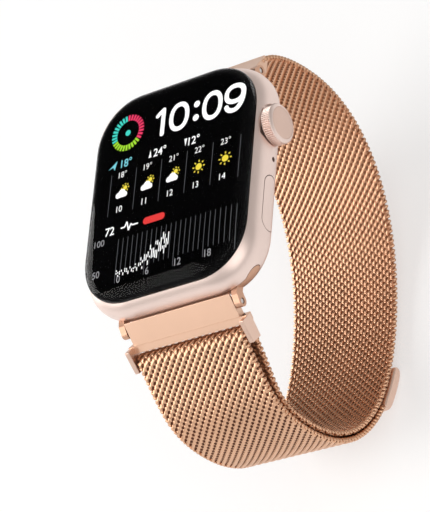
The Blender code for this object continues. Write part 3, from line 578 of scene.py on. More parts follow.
def prisms(name, outlines, level, thickness=0.02 * mm):
    # flat shapes with a little thickness; each outline is an (n, 2) array in mm
    points, quads, caps, start = [], [], [], 0
    for outline in outlines:
        outline = np.asarray(outline, float) * mm
        x, y = outline.T
        if np.sum(x * np.roll(y, -1) - np.roll(x, -1) * y) < 0:     # twice the area: clockwise is below 0
            outline = outline[::-1]
        count = len(outline)
        points += [np.column_stack([outline, np.full(count, z)]) for z in (level, level + thickness)]
        here = np.arange(count)
        following = (here + 1) % count
        quads.append(np.column_stack([here, following, following + count, here + count]) + start)
        caps += [here[::-1] + start, here + count + start]
        start += 2 * count
    return meshFrom(name, np.concatenate(points), np.concatenate(quads), caps)


def bar(x0, x1, y0, y1):
    return np.array([(x0, y0), (x1, y0), (x1, y1), (x0, y1)])


def disc(x, y, radius, steps=28):
    angle = np.linspace(0, 2 * np.pi, steps, endpoint=False)
    return np.column_stack([x + radius * np.cos(angle), y + radius * np.sin(angle)])


def dash(start, end, halfWidth):
    start, end = np.asarray(start, float), np.asarray(end, float)
    across = np.array([start[1] - end[1], end[0] - start[0]])
    across *= halfWidth / np.hypot(*across)
    return np.array([start - across, end - across, end + across, start + across])


def ray(centre, angle, inner, outer, halfWidth):
    # a dash that points away from a centre
    along = np.array([math.cos(angle), math.sin(angle)])
    return dash(centre + along * inner, centre + along * outer, halfWidth)


def roundBar(x0, x1, y0, y1):
    flat = pillOutline((x1 - x0) / 2, (y1 - y0) / 2, 24)
    return flat + np.array([(x0 + x1) / 2, (y0 + y1) / 2])


def glyphMesh(text, x0, y0, height, weight=0.0):
    # a number from the built-in font, fitted by its own box: left edge, foot and height in mm
    curve = bpy.data.curves.new("glyph", "FONT")
    curve.body = text
    curve.offset = weight
    curve.extrude = 0.005
    curve.resolution_u = 6
    holder = bpy.data.objects.new("glyph", curve)
    bpy.context.scene.collection.objects.link(holder)
    bpy.context.view_layer.update()
    mesh = bpy.data.meshes.new_from_object(holder.evaluated_get(bpy.context.evaluated_depsgraph_get()))
    bpy.data.objects.remove(holder)
    points = np.empty(len(mesh.vertices) * 3, np.float32)
    mesh.vertices.foreach_get("co", points)
    points = points.reshape(-1, 3).astype(float)
    low, high = points.min(0), points.max(0)
    scaleY = height / (high[1] - low[1])
    points[:, 0] = x0 + (points[:, 0] - low[0]) * scaleY * 0.92
    points[:, 1] = y0 + (points[:, 1] - low[1]) * scaleY
    points[:, 2] = np.where(points[:, 2] > 0, 0.02, 0.0)
    points *= mm
    mesh.vertices.foreach_set("co", points.astype(np.float32).ravel())
    return mesh


def strokeMesh(path, width):
    # a flat pen line of even width along a path in mm, with round ends
    path = np.asarray(path, float)
    along = np.gradient(path, axis=0)
    if np.allclose(path[0], path[-1]):
        along[0] = along[-1] = along[0] + along[-1]
    along /= np.hypot(*along.T)[:, None]
    side = np.column_stack([-along[:, 1], along[:, 0]]) * width / 2
    low, high = np.zeros((len(path), 1)), np.full((len(path), 1), 0.02)
    rings = np.stack([
        np.hstack([path + side, low]), np.hstack([path - side, low]),
        np.hstack([path - side, high]), np.hstack([path + side, high])], 1)
    line = loftMesh("stroke", rings * mm)
    caps = prisms("caps", [disc(*path[0], width / 2 * 0.995), disc(*path[-1], width / 2 * 0.995)], 0)
    return joined("stroke", [line, caps])


def bigDigit(which, left, width, pen=0.86):
    # the time's digits as pen strokes inside their own box
    foot, height = display["digitFoot"], display["digitHeight"]
    halfX, halfY = (width - pen) / 2, (height - pen) / 2
    middle = np.array([left + width / 2, foot + height / 2])
    if which == 1:
        flag = np.array([(-1, 0.62), (-0.2, 0.80), (1, 1)]) * [halfX, halfY]
        stem = np.array([(1, 1), (1, 0.9), (1, -1)]) * [halfX, halfY]
        return [strokeMesh(flag + middle, pen * 0.92), strokeMesh(stem + middle, pen)]
    turn = np.linspace(0, 2 * np.pi, 73)
    c, s = np.cos(turn), np.sin(turn)
    oval = np.column_stack([np.sign(c) * np.abs(c) ** 0.9, np.sign(s) * np.abs(s) ** 0.9])
    if which == 0:
        return [strokeMesh(oval * [halfX, halfY] + middle, pen)]
    loop = oval * [halfX, halfY * 0.64] + [0, halfY * 0.36] + middle
    tail = np.concatenate([
        bezier((1, 0.4), (1.02, -0.5), (0.5, -1), (-0.08, -1), 24),
        bezier((-0.08, -1), (-0.5, -1), (-0.76, -0.86), (-0.9, -0.62), 12)[1:]]) * [halfX, halfY]
    return [strokeMesh(loop, pen), strokeMesh(tail + middle, pen)]


def bezier(a, b, c, d, count=160):
    # cubic curve: (1-t)^3 a + 3(1-t)^2 t b + 3(1-t) t^2 c + t^3 d
    a, b, c, d = (np.asarray(point, float) for point in (a, b, c, d))
    t = np.linspace(0, 1, count)[:, None]
    return (1 - t) ** 3 * a + 3 * (1 - t) ** 2 * t * b + 3 * (1 - t) * t ** 2 * c + t ** 3 * d


def joined(name, meshes):
    shape = bmesh.new()
    for mesh in meshes:
        shape.from_mesh(mesh)
    made = bpy.data.meshes.new(name)
    shape.to_mesh(made)
    shape.free()
    return made


def lift(mesh, level):
    mesh.transform(Matrix.Translation((0, 0, level)))
    return mesh


# the display is laid out in mm from its middle
display = {
    "level": 8.405 * mm,        # just above the display stack
    "bold": 0.008, "readingWeight": -0.008, "hourWeight": -0.004,   # how far the font's outline is moved out
    "digitFoot": 10.0, "digitHeight": 5.5,
    "lineFoot": 6.4, "lineHeight": 1.6, "smallHeight": 1.15,
    "columns": [-12.8 + 5.33 * k for k in range(6)],    # dividers of the hourly strip
    "columnTop": 5.4, "columnFoot": -2.5, "ruleHalf": 0.05,
    "readings": ["18", "19", "21", "22", "23"],
    "hours": ["10", "11", "12", "13", "14"],
    "clouded": 3,               # how many of the columns have a cloud before the sun
    "beatMiddle": -5.5, "beatHalf": 0.13,
    "graphLeft": -9.8, "graphRight": 14.2, "graphTop": -7.5, "graphFoot": -15.5, "shortRule": 1.6,
    "pulseFrom": -9.6, "pulseTo": 1.0, "pulseStep": 0.36, "pulseHalf": 0.085,
    "gaugeCentre": (-10.2, 12.9), "gaugeInner": 2.35, "gaugeOuter": 3.4, "gaugeDashes": 30,
}
middles = [(a + b) / 2 for a, b in zip(display["columns"], display["columns"][1:])]


def addMarks(name, finish, outlines=(), glyphs=(), above=0.0):
    meshes = []
    if len(outlines):
        meshes.append(prisms(name, outlines, display["level"] + above))
    meshes += [lift(glyph, display["level"] + above) for glyph in glyphs]
    marks = objectFrom(name, joined(name, meshes), 60)
    placePiece(marks, finish, "case", ())


def buildHeadline():
    # the time, the two readings under it and the pulse number
    bold, foot, height = display["bold"], display["lineFoot"], display["lineHeight"]
    white = [
        *bigDigit(1, -4.4, 2.1), *bigDigit(0, -1.4, 4.2), *bigDigit(0, 5.5, 4.2), *bigDigit(9, 10.0, 4.1),
        glyphMesh("24°", -4.1, foot, height, bold), glyphMesh("12°", 3.2, foot, height, bold),
        glyphMesh("72", -12.9, -6.3, height, bold),
    ]
    outlines = [disc(4.3, 14.0, 0.62), disc(4.3, 11.4, 0.62)]
    # small up and down arrowheads in place of words
    outlines += [[(-5.1, 6.5), (-4.5, 6.5), (-4.8, 7.9)], [(2.3, 7.9), (2.9, 7.9), (2.6, 6.5)]]
    # a beat trace in place of a unit
    beat = [(-9.6, 0), (-8.8, 0), (-8.4, 0.9), (-7.9, -0.8), (-7.5, 0.35), (-7.2, 0), (-6.0, 0)]
    beat = np.array(beat) + [0, display["beatMiddle"]]
    outlines += [dash(low, high, display["beatHalf"]) for low, high in zip(beat, beat[1:])]
    addMarks("screenWhiteMarks", "litWhite", outlines, white)


def buildReadings():
    small, height = [], display["smallHeight"]
    for x, reading, hour in zip(middles, display["readings"], display["hours"]):
        small.append(glyphMesh(reading + "°", x - 1.1, 4.4, height, display["readingWeight"]))
        small.append(glyphMesh(hour, x - 0.85, -2.2, height, display["hourWeight"]))
    addMarks("screenReadings", "litWhite", (), small, 0.001 * mm)
    arrow = [(-13.6, 6.6), (-11.9, 7.9), (-12.3, 6.2), (-12.7, 6.9)]
    number = glyphMesh("18°", -11.0, 6.3, display["lineHeight"], display["bold"])
    addMarks("screenCyanMarks", "litCyan", [arrow], [number])
    addMarks("screenRedMark", "litRed", [roundBar(-4.9, -0.4, -6.2, -4.9)])


def buildWeather():
    suns, clouds = [], []
    for k, x in enumerate(middles):
        clouded = k < display["clouded"]
        cx, cy, reach = (x + 0.55, 2.2, 0.42) if clouded else (x, 1.65, 0.62)
        suns.append(disc(cx, cy, reach))
        for spoke in range(8):
            suns.append(ray((cx, cy), spoke * math.pi / 4, reach * 1.45, reach * 2.0, 0.11))
        if clouded:
            clouds += [disc(x - 0.75, 1.0, 0.55), disc(x - 0.05, 1.35, 0.72), disc(x + 0.6, 1.0, 0.5)]
            clouds.append(roundBar(x - 1.3, x + 1.1, 0.5, 1.3))
    addMarks("screenSuns", "litYellow", suns)
    addMarks("screenClouds", "litWhite", clouds, (), 0.022 * mm)


def buildGraph():
    half, foot, top = display["ruleHalf"], display["columnFoot"], display["columnTop"]
    lines = [bar(x - half, x + half, foot, top) for x in display["columns"]]
    ticks = np.linspace(display["graphLeft"], display["graphRight"], 25)
    foot, top = display["graphFoot"], display["graphTop"]
    for k, x in enumerate(ticks):
        lines.append(bar(x - half, x + half, foot if k % 6 == 0 else foot + display["shortRule"], top))
    addMarks("screenRules", "litDimGrey", lines)
    greys = [glyphMesh("100", -14.9, -7.9, 1.2), glyphMesh("50", -14.7, -13.6, 1.2)]
    greys += [glyphMesh(str(hour), ticks[hour] + 0.35, foot - 0.1, 1.25) for hour in (0, 6, 12, 18)]
    addMarks("screenGreyNumbers", "litGrey", (), greys)

    # two short upright bars in each column: their height climbs to the right, and sines make the
    # height and the length wander
    at = np.arange(display["pulseFrom"], display["pulseTo"], display["pulseStep"])
    half, low, high = display["pulseHalf"], foot + 0.3, top - 0.4
    bars = []
    for k, (x, climb) in enumerate(zip(at, np.clip((at + 5.5) / 5.0, 0, 1))):
        for second in (0, 1):
            sway = math.sin(k * 2.4 + second * 1.9) + 0.6 * math.sin(k * 4.1 + second)
            middle = -13.9 + 3.1 * climb + (0.45 + 0.95 * climb) * sway * (0.7 if second else 1)
            length = 0.14 + 0.75 * climb * abs(math.sin(k * 1.7 + second * 2.2))
            bars.append(bar(x - half, x + half, max(low, middle - length), min(high, middle + length)))
    addMarks("screenPulseBars", "litWhite", bars, (), 0.001 * mm)


def buildGauge():
    # short dashes round a dot, clockwise from the top, in three colours one after another
    centre, count = display["gaugeCentre"], display["gaugeDashes"]
    dashes = [
        ray(centre, math.radians(90 - 360 / count * k), display["gaugeInner"], display["gaugeOuter"], 0.2)
        for k in range(count)]
    addMarks("screenGaugeWarm", "litRose", dashes[:11])
    addMarks("screenGaugeFresh", "litLime", dashes[11:21])
    addMarks("screenGaugeCool", "litTeal", dashes[21:] + [disc(*centre, 0.55)])


buildHeadline()
buildReadings()
buildWeather()
buildGraph()
buildGauge()
print("display ready")


crown = {
    "radius": 3.4 * mm, "inner": 17.25 * mm,
    "teeth": 54, "toothDepth": 0.24 * mm, "capRadius": 2.72 * mm, "capFace": 19.31 * mm,
    # rim section in mm: distance out from the case, drop below the full radius, share of the tooth depth
    "rim": [
        (0, 0.35, 0), (0.05, 0.22, 0), (0.12, 0.10, 0), (0.18, 0.04, 0.2), (0.22, 0.01, 0.8), (0.28, 0, 1),
        (0.9, 0, 1), (1.5, 0, 1), (1.56, 0.01, 0.9), (1.62, 0.03, 0.6), (1.70, 0.08, 0.3), (1.80, 0.18, 0.1),
        (1.90, 0.32, 0), (1.98, 0.46, 0), (2.03, 0.55, 0), (2.05, 0.60, 0), (2.05, 0.66, 0), (1.98, 0.68, 0),
        (1.8, 0.68, 0)],
}


def buildCrown():
    # a lip, a toothed band and a lip; a groove's depth is a raised cosine to the power 1.6
    rim = np.array(crown["rim"])
    fine = np.linspace(0, len(rim) - 1, 3 * len(rim))
    at, drop, deep = (np.interp(fine, np.arange(len(rim)), rim[:, k]) for k in range(3))
    x = crown["inner"] + at * mm
    angle = np.linspace(0, 2 * np.pi, crown["teeth"] * 8, endpoint=False)
    groove = (0.5 - 0.5 * np.cos(angle * crown["teeth"])) ** 1.6
    radius = (crown["radius"] - drop * mm)[:, None] - (deep * crown["toothDepth"])[:, None] * groove[None, :]
    rings = np.stack([
        np.broadcast_to(x[:, None], radius.shape),
        case["crownY"] + radius * np.cos(angle), case["crownZ"] + radius * np.sin(angle)], -1)
    wheel = solid(loftMesh, "crownWheel", rings, sharp=45)
    placePiece(wheel, "blastedPinkAluminium", "crown_wheel", ["crown_dial"])
    edge, face = crown["capRadius"], crown["capFace"]
    profile = [(edge, face - 0.25 * mm), (edge, face - 0.07 * mm), (edge - 0.03 * mm, face - 0.025 * mm),
               (edge - 0.09 * mm, face), (0.3 * mm, face)]
    cap = solid(turnedMesh, "crownCap", profile, (0, case["crownY"], case["crownZ"]), "X")
    placePiece(cap, "satinCrownCap", "crown_wheel", ["crown_cap"])


buildCrown()
print("crown ready")


strapEnd = {
    "pinY": 21.5 * mm, "pinZ": 2.6 * mm, "pinRadius": 0.45 * mm,
    "slope": math.radians(50),
    "slideGap": 0.12 * mm, "tongueEnd": 20.72 * mm, "tongueGap": 0.10 * mm,
    "earInner": 10.95 * mm, "earOuter": 12.1 * mm, "eyeRadius": 0.95 * mm,
    "leafHalf": 10.8 * mm, "leafTop": 0.85 * mm, "leafFoot": -0.7 * mm, "leafEnd": 3.5 * mm,
    "wingStart": 2.2 * mm, "barrelRadius": 1.0 * mm,
    # a lip that closes the view between case and strap, and the wedge that takes in the upper mesh
    "lip": np.array([(-1.92, 0.85), (-1.86, 0.60), (-1.35, 0.52)]) * mm,
    "wedge": np.array([(3.3, -0.7), (4.95, 1.02), (4.62, 2.16), (0.9, 0.93)]) * mm,
    "armStart": 2.3 * mm, "armEnd": 6.5 * mm, "armLow": -0.5 * mm, "armHigh": 2.35 * mm,
    "armInner": 11.2 * mm,
    "barAlong": 5.6 * mm, "barOver": 0.35 * mm, "barRadius": 0.7 * mm, "barHalf": 11.05 * mm,
    "foldRadius": 1.4 * mm,
}


def leafPoint(side, along, over):
    # a point of a strap end: along its slope from the pin, and over it away from the wrist, as (y, z)
    run, fall = math.cos(strapEnd["slope"]), math.sin(strapEnd["slope"])
    along, over = np.asarray(along, float), np.asarray(over, float)
    y = strapEnd["pinY"] + along * run + over * fall
    z = strapEnd["pinZ"] - along * fall + over * run
    return np.stack([side * y, z], -1)


def buildLug(side, name):
    body, middle = f"lug_{name}_body", case["channelZ"]
    y, reach = side * case["channelY"], case["halfX"]
    lug = solid(rodMesh, f"lug_{name}Slide", case["channelRadius"] - strapEnd["slideGap"],
                (-reach, y, middle), (reach, y, middle), 72)
    half = case["channelMouth"] - strapEnd["tongueGap"]
    low, high = middle - half, middle + half
    start, end = 18.2 * mm, strapEnd["tongueEnd"]
    tongue = np.array([(start, low), (end, low), (end, high), (start, high)]) * [side, 1]
    reach = case["halfX"] - 3.2 * mm
    carve(lug, [solid(prismAlongX, "tongue", tongue, -reach, reach)], "UNION")
    carve(lug, [solid(loftMesh, "lugCurve", caseWall(0.03 * mm))], "INTERSECT")
    # each ear runs out from the tongue and ends in an eye round the pin
    pinY, pinZ, eye = strapEnd["pinY"], strapEnd["pinZ"], strapEnd["eyeRadius"]
    angle = np.radians(np.linspace(62, -150, 24))
    start, low, high = 18.6 * mm, low + 0.02 * mm, high - 0.02 * mm
    shoulder = (pinY - 0.5 * mm, high - 0.10 * mm)
    ear = [(start, low), (start, high), (pinY - 1.2 * mm, high), shoulder]
    ear += [(pinY + eye * math.cos(a), pinZ + eye * math.sin(a)) for a in angle]
    ear = np.array(ear + [(pinY - 1.5 * mm, low)]) * [side, 1]
    ears = []
    for hand in (-1, 1):
        ends = sorted((hand * strapEnd["earInner"], hand * strapEnd["earOuter"]))
        ears.append(solid(prismAlongX, "ear", ear, *ends))
    carve(lug, ears, "UNION")
    radius, far = strapEnd["pinRadius"], 20 * mm
    hole = solid(rodMesh, "hole", radius + 0.05 * mm, (-far, side * pinY, pinZ), (far, side * pinY, pinZ), 40)
    carve(lug, [hole])
    softenEdges(lug, 0.05 * mm, 2)
    # the lug's steel is painted darker, as painted shade
    placePiece(lug, "paintedShadeRoseGoldSteel", body, [f"lug_{name}"])
    far = strapEnd["earOuter"] - 0.15 * mm
    pin = solid(rodMesh, f"lug_{name}Pin", radius, (-far, side * pinY, pinZ), (far, side * pinY, pinZ),
                40, 0.08 * mm)
    placePiece(pin, "turnedSteel", body, [f"lug_{name}_pin"])


def buildLeaf(side, name, body, node, wings=False):
    # a flat leaf: its face runs straight over the barrel that the pin goes through
    top, foot, radius = strapEnd["leafTop"], strapEnd["leafFoot"], strapEnd["barrelRadius"]
    start, end = strapEnd["wingStart"], strapEnd["leafEnd"]
    angle = np.linspace(math.radians(168), 2 * np.pi + math.asin(foot / radius), 36)
    barrel = np.column_stack([radius * np.cos(angle), radius * np.sin(angle)])
    tip = [(end, foot), (end, top)] if wings else strapEnd["wedge"]
    along, over = np.concatenate([strapEnd["lip"], barrel, tip]).T
    half = strapEnd["leafHalf"]
    leaf = solid(prismAlongX, name, leafPoint(side, along, over), -half, half)
    if wings:
        reach = strapEnd["earOuter"] - 0.05 * mm
        shape = leafPoint(side, [start, end, end, start], [foot, foot, top, top])
        carve(leaf, [solid(prismAlongX, "wings", shape, -reach, reach)], "UNION")
    softenEdges(leaf, 0.07 * mm, 3)
    placePiece(leaf, "satinRoseGoldSteel", body, [node])


def buildBuckle():
    buildLeaf(-1, "buckleLeaf", "buckle", "buckle_frame", True)
    start, end = strapEnd["armStart"], strapEnd["armEnd"]
    low, high = strapEnd["armLow"], strapEnd["armHigh"]
    outline = leafPoint(-1, [start, end, end, start + 0.15 * mm], [low, low, high - 0.25 * mm, high])
    for hand, label in ((-1, "left"), (1, "right")):
        ends = sorted((hand * strapEnd["armInner"], hand * strapEnd["earOuter"]))
        arm = solid(prismAlongX, f"buckleArm_{label}", outline, *ends)
        softenEdges(arm, 0.16 * mm, 4)
        # the arms' steel is painted lighter, as painted light
        placePiece(arm, "paintedLighterRoseGoldSteel", "buckle", ())
    y, z = leafPoint(-1, strapEnd["barAlong"], strapEnd["barOver"])
    half = strapEnd["barHalf"]
    rod = solid(rodMesh, "buckleBar", strapEnd["barRadius"], (-half, y, z), (half, y, z), 40, 0.1 * mm)
    placePiece(rod, "turnedSteel", "buckle", ["buckle_bar"])


for side, name in ((1, "upper"), (-1, "lower")):
    buildLug(side, name)
buildLeaf(1, "strapEndLeaf", "band_upper", "band_end_clamp")
buildBuckle()
print("buckle ready")


strap = {
    "half": 11.08 * mm, "thickness": 1.05 * mm, "layerStep": 1.25 * mm,
    "columnPitch": 1.37 * mm,   # across, from strand to strand
    "rowPitch": 0.675 * mm,     # along, from row to row; each row is shifted by half a column
    "strandAcross": 0.30 * mm, "strandAlong": 0.62 * mm,    # half a strand's reach each way
    "linkAcross": 0.30 * mm, "linkAlong": 0.20 * mm,
    "wireWide": 0.27 * mm, "wireHigh": 0.20 * mm, "linkWide": 0.23 * mm, "linkHigh": 0.184 * mm,
    "beadPitch": 0.88 * mm, "beadRadius": 0.27 * mm,
    "sides": 6, "segments": 5,
    # the loop's furthest points towards 12 o'clock, downwards and towards 6 o'clock, as (y, z)
    "top": np.array([29.75, -14.5]) * mm, "far": np.array([-5.6, -40.75]) * mm,
    "low": np.array([-33.7, -17.9]) * mm,
    "leavesAt": math.radians(33),
    "claspFrom": -13.4 * mm, "claspTo": -21.8 * mm, "claspHalf": 11.2 * mm,
    "coreHalfWidth": 10.53 * mm, "coreHalfThick": 0.09 * mm,
}


def routeOf(parts):
    # one line through the parts, and the distance along it at every point
    line = np.concatenate([parts[0]] + [part[1:] for part in parts[1:]])
    keep = np.concatenate([[True], np.hypot(*np.diff(line, axis=0).T) > 1e-7])
    line = line[keep]
    distance = np.concatenate([[0], np.cumsum(np.hypot(*np.diff(line, axis=0).T))])
    return line, distance


def strapRoute():
    run, fall = math.cos(strapEnd["slope"]), math.sin(strapEnd["slope"])
    leaving = np.array([math.cos(strap["leavesAt"]), -math.sin(strap["leavesAt"])])
    lowerDown = np.array([-run, -fall])
    top, far, low = strap["top"], strap["far"], strap["low"]
    start = leafPoint(1, 3.3 * mm, strapEnd["leafTop"] + 0.35 * mm)
    barCentre = leafPoint(-1, strapEnd["barAlong"], strapEnd["barOver"])
    out = leafPoint(-1, 0, 1.0) - leafPoint(-1, 0, 0)
    out /= np.hypot(*out)
    fold = strapEnd["foldRadius"]
    upper = bezier(start, start + leaving * 4.75 * mm, top + [0, 4.7 * mm], top)
    side = bezier(top, top - [0, 16.15 * mm], far + [20.7 * mm, 0], far)
    bottom = bezier(far, far - [17.0 * mm, 0], low - [0, 15.1 * mm], low)
    insideBar = barCentre - out * fold
    rising = bezier(low, low + [0, 9 * mm], insideBar + lowerDown * 10 * mm, insideBar)
    turn = np.linspace(0, np.pi, 60)[:, None]
    over = barCentre - out * fold * np.cos(turn) - lowerDown * fold * np.sin(turn)
    root = barCentre + out * fold + lowerDown * 0.62 * mm
    outerLow = low - [strap["layerStep"], 0]
    tail = bezier(root, root + lowerDown * 7.0 * mm, outerLow + [0, 9 * mm], outerLow)
    back = bottom[::-1]
    direction = np.gradient(back, axis=0)
    direction /= np.hypot(*direction.T)[:, None]
    # the tail lies one layer step outside the band, on the side away from the wrist
    outside = back + np.column_stack([direction[:, 1], -direction[:, 0]]) * strap["layerStep"]
    ends = outside[:, 0] < strap["claspTo"]
    parts = {"upper": [upper, side], "lower": [bottom, rising, over], "tail": [tail, outside[ends]]}
    lengths = {key: routeOf(value)[1][-1] for key, value in parts.items()}
    line, distance = routeOf(parts["upper"] + parts["lower"] + [np.array([over[-1], root])] + parts["tail"])
    return line, distance, lengths, bottom


route, routeDistance, stretchLengths, bottomLine = strapRoute()
print("strap length in mm", round(float(routeDistance[-1]) / mm, 1))


def routeFrame(distance):
    # place and unit normal of the route at any distances, as (y, z) pairs
    step = 0.25 * mm
    inside = np.clip(distance, step, routeDistance[-1] - step)
    at = np.stack([np.interp(inside, routeDistance, route[:, k]) for k in (0, 1)], -1)
    ahead = np.stack([np.interp(inside + step, routeDistance, route[:, k]) for k in (0, 1)], -1)
    behind = np.stack([np.interp(inside - step, routeDistance, route[:, k]) for k in (0, 1)], -1)
    along = ahead - behind
    along /= np.linalg.norm(along, axis=-1, keepdims=True)
    at = at + along * (distance - inside)[..., None]      # straight on past either end
    normal = np.stack([-along[..., 1], along[..., 0]], -1)
    return at, normal


def onStrap(x, distance, height):
    # strap coordinates (across, along, off the middle) to points in the frame
    at, normal = routeFrame(distance)
    place = at + normal * height[..., None]
    return np.stack([x, place[..., 0], place[..., 1]], -1)


def wireMesh(name, x, distance, height, wide, high):
    # many short wires at once: x, distance and height are (wires, stations) centre lines in strap
    # coordinates, and each wire is an elliptic tube round its line, closed at both ends
    wires, stations = x.shape
    sides = strap["sides"]
    dx, ds, dh = (np.gradient(v, axis=1) for v in (x, distance, height))
    length = np.sqrt(dx ** 2 + ds ** 2 + dh ** 2) + 1e-12
    tangent = np.stack([dx, ds, dh], -1) / length[..., None]
    across = np.stack([tangent[..., 1], -tangent[..., 0], np.zeros_like(dx)], -1)
    small = np.linalg.norm(across, axis=-1, keepdims=True)
    across = np.where(small > 0.05, across / np.maximum(small, 1e-9), np.array([0.0, 1.0, 0.0]))
    rise = np.cross(across, tangent)
    angle = (np.arange(sides) + 0.5) * 2 * np.pi / sides
    ringAcross = np.cos(angle)[None, None, :, None] * across[:, :, None, :] * wide
    ringLift = np.sin(angle)[None, None, :, None] * rise[:, :, None, :] * high
    centre = np.stack([x, distance, height], -1)[:, :, None, :]
    local = centre + ringAcross + ringLift
    points = onStrap(local[..., 0], local[..., 1], local[..., 2]).reshape(-1, 3)
    perWire = stations * sides
    wire = (np.arange(wires) * perWire)[:, None, None]
    station = (np.arange(stations - 1) * sides)[None, :, None]
    side = np.arange(sides)[None, None, :]
    following = (side + 1) % sides
    quads = np.stack([
        wire + station + side, wire + station + following,
        wire + station + sides + following, wire + station + sides + side], -1).reshape(-1, 4)
    # a six-sided end is closed by two quads
    first = np.array([[0, 5, 4, 3], [0, 3, 2, 1]])
    last = np.array([[0, 1, 2, 3], [0, 3, 4, 5]]) + (stations - 1) * sides
    ends = np.concatenate([first, last])[None] + wire
    return meshFrom(name, points, np.concatenate([quads, ends.reshape(-1, 4)]))


def strandWires(firstRow, lastRow, face):
    # one slanted strand in each cell of a half-offset grid: it comes up from the middle of the
    # weave, arches over and dives again, so dark holes open between neighbouring strands
    rows = np.arange(firstRow, lastRow)
    t = np.linspace(0, 1, strap["segments"] + 1)[None, :]
    pitch = strap["columnPitch"]
    centreX, centreS = [], []
    for row in rows:
        count = 16 - row % 2
        centreX.append((np.arange(count) - (count - 1) / 2) * pitch)
        centreS.append(np.full(count, (row + 0.5) * strap["rowPitch"]))
    centreX, centreS = np.concatenate(centreX)[:, None], np.concatenate(centreS)[:, None]
    bend = 2 * t - 1
    x = centreX + strap["strandAcross"] * (bend + 0.25 * np.sin(np.pi * bend))
    s = centreS - strap["strandAlong"] * bend
    topHeight = strap["thickness"] / 2 - strap["wireHigh"]
    h = topHeight * (0.12 + 0.88 * np.sin(np.pi * (0.04 + 0.92 * t)) ** 0.6)
    return np.broadcast_arrays(x, s, face * h)


def linkWires(firstRow, lastRow, face):
    # short links under the strands, leaning the other way, that divide the dark lines into holes
    rows = np.arange(firstRow, lastRow)
    t = np.linspace(0, 1, 4)[None, :]
    pitch = strap["columnPitch"]
    centreX, centreS = [], []
    for row in rows:
        count = 15 - (row % 2)
        centreX.append((np.arange(count) - (15 - row % 2) / 2 + 0.75) * pitch)
        centreS.append(np.full(count, (row + 1.0) * strap["rowPitch"]))
    centreX, centreS = np.concatenate(centreX)[:, None], np.concatenate(centreS)[:, None]
    bend = 2 * t - 1
    x = centreX + strap["linkAcross"] * bend
    s = centreS + strap["linkAlong"] * bend
    h = (strap["thickness"] / 2 - strap["wireHigh"]) * (0.40 + 0.50 * np.sin(np.pi * (0.08 + 0.84 * t)))
    return np.broadcast_arrays(x, s, face * h)


def edgeWires(firstRow, lastRow):
    # the coils turn back at the edges: half rings from one face to the other, like a row of beads
    start, end = firstRow * strap["rowPitch"], lastRow * strap["rowPitch"]
    count = int(round((end - start) / strap["beadPitch"]))
    place = start + (np.arange(count) + 0.5) * (end - start) / count
    turn = np.linspace(-0.5 * np.pi, 0.5 * np.pi, strap["segments"] + 1)[None, None, :]
    hand = np.array([-1, 1])[None, :, None]
    reach, topHeight = 0.75 * mm - strap["beadRadius"], strap["thickness"] / 2 - strap["beadRadius"]
    x = hand * (strap["half"] - 0.75 * mm + reach * np.cos(turn))
    s = place[:, None, None] - 0.14 * mm * np.sin(turn)
    x, s, h = np.broadcast_arrays(x, s, topHeight * np.sin(turn))
    return [v.reshape(-1, strap["segments"] + 1) for v in (x, s, h)]


def coreMesh(name, startDistance, endDistance):
    # the dark middle of the weave, a sheet of painted shade: a thin closed strip along the route
    stations = np.linspace(startDistance, endDistance, int((endDistance - startDistance) / (0.6 * mm)))
    one = np.ones(len(stations))
    wide, high = strap["coreHalfWidth"], strap["coreHalfThick"]
    corners = [(-wide, -high), (wide, -high), (wide, high), (-wide, high)]
    return loftMesh(name, np.stack([onStrap(one * x, stations, one * h) for x, h in corners], 1))


def buildStrap():
    pitch = strap["rowPitch"]
    endUpper = stretchLengths["upper"]
    endLower = endUpper + stretchLengths["lower"]
    rowsUpper = int(round(endUpper / pitch))
    rowsLower = int(round(endLower / pitch))
    rowsAll = int(routeDistance[-1] / pitch)
    # each section's core sheet is painted shade: lighter on the band, darker under the tail
    sections = [
        ("strapUpper", 0, rowsUpper, "band_upper", "band_mesh_upper", "paintedLighterShadeWeaveCore"),
        ("strapLower", rowsUpper, rowsLower, "band_lower", "band_mesh_lower", "paintedLighterShadeWeaveCore"),
        ("strapTail", rowsLower, rowsAll, "clasp_tail", "band_mesh_tail", "paintedShadeWeaveCore"),
    ]
    # width and height of each kind of wire, both as half sizes
    strand, link = (strap["wireWide"], strap["wireHigh"]), (strap["linkWide"], strap["linkHigh"])
    bead = (strap["beadRadius"], strap["beadRadius"])
    for name, first, last, body, node, shadeFinish in sections:
        wires = [
            ("Outer", strandWires(first, last, 1), strand), ("OuterLinks", linkWires(first, last, 1), link),
            ("Inner", strandWires(first, last, -1), strand), ("InnerLinks", linkWires(first, last, -1), link),
            ("Edge", edgeWires(first, last), bead),
        ]
        for label, line, sizes in wires:
            piece = solid(wireMesh, name + label, *line, *sizes, sharp=60)
            placePiece(piece, "roseGoldWire", body, [node] if label == "Outer" else ())
        core = solid(coreMesh, name + "Core", first * pitch, last * pitch)
        placePiece(core, shadeFinish, body, ())
    print("strap rows", rowsUpper, rowsLower, rowsAll)


buildStrap()


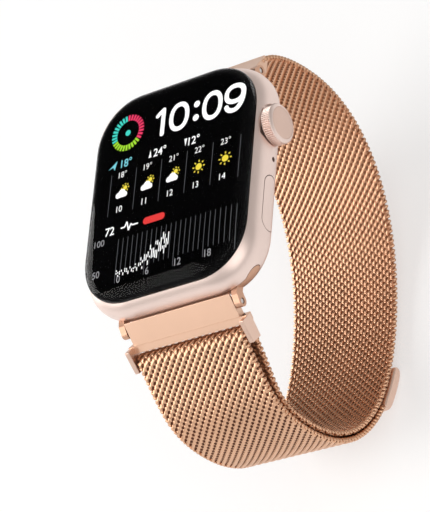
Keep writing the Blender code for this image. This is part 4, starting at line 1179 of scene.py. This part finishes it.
def buildClasp():
    # a pillow on the outside of the band: rings along it are rounded rectangles whose height swells
    keep = (bottomLine[:, 0] <= strap["claspFrom"]) & (bottomLine[:, 0] >= strap["claspTo"])
    line = bottomLine[keep]
    distance = np.concatenate([[0], np.cumsum(np.hypot(*np.diff(line, axis=0).T))])
    share = 0.5 - 0.5 * np.cos(np.linspace(0, np.pi, 60))
    at = np.stack([np.interp(share * distance[-1], distance, line[:, k]) for k in (0, 1)], -1)
    along = np.gradient(at, axis=0)
    along /= np.hypot(*along.T)[:, None]
    normal = np.column_stack([-along[:, 1], along[:, 0]])
    base = strap["thickness"] / 2 + 0.16 * mm
    swell = np.clip(1 - np.abs(2 * share - 1) ** 7, 0, 1) ** 0.5
    rings = []
    for place, outward, fullness in zip(at, normal, swell):
        halfHeight = (0.25 + 0.87 * fullness) * mm
        halfWidth = strap["claspHalf"] - 0.35 * mm * (1 - fullness)
        angle = np.linspace(0, 2 * np.pi, 72, endpoint=False)
        cx = np.sign(np.cos(angle)) * np.abs(np.cos(angle)) ** 0.12 * halfWidth
        ch = np.sign(np.sin(angle)) * np.abs(np.sin(angle)) ** 0.4 * halfHeight
        height = base + 1.16 * mm + ch
        rings.append(np.column_stack([cx, place[0] + outward[0] * height, place[1] + outward[1] * height]))
    clasp = solid(loftMesh, "claspPillow", np.array(rings), sharp=60)
    # the clasp's steel is painted lighter, as painted light
    placePiece(clasp, "paintedLighterRoseGoldSteel", "clasp_tail", ["clasp_housing", "clasp_magnet"])


buildClasp()
print("strap ready")


backPart = {
    "ringX": 12.7 * mm, "ringY": 14.3 * mm, "ringCorner": 6.9 * mm, "windowRadius": 11.6 * mm,
    # ring section: heights and insets of its wall
    "ringHeights": np.array([1.3, 1.12, 1.08, 2.4]) * mm, "ringInsets": np.array([0, 0.08, 0.3, 0]) * mm,
    "domeFlat": 4.5 * mm, "domeReach": 7.0 * mm, "domeRise": 1.75 * mm, "domeTop": 2.4 * mm,
}


def buildBack():
    heights, insets = backPart["ringHeights"], backPart["ringInsets"]
    ring = solid(loftMesh, "backRing", wallRings(
        backPart["ringX"], backPart["ringY"], heights, insets, [backPart["ringCorner"]] * len(heights)))
    carve(ring, [solid(rodMesh, "cutCrystal", backPart["windowRadius"], (0, 0, 0), (0, 0, 4 * mm), 128)])
    placePiece(ring, "polishedCeramic", "case", ["back_cover"])
    # the window is flat in the middle and rises away from the wrist by its share to the power 1.9
    share, flat, top = np.linspace(0, 1, 40), backPart["domeFlat"], backPart["domeTop"]
    edge = flat + backPart["domeReach"]
    profile = list(zip(flat + share * backPart["domeReach"], backPart["domeRise"] * share ** 1.9))
    dome = solid(turnedMesh, "backDome", profile + [(edge, top), (0.5 * mm, top)], (0, 0, 0), "Z")
    placePiece(dome, "sensorGlass", "case", ["back_crystal"])


buildBack()
print("back ready")
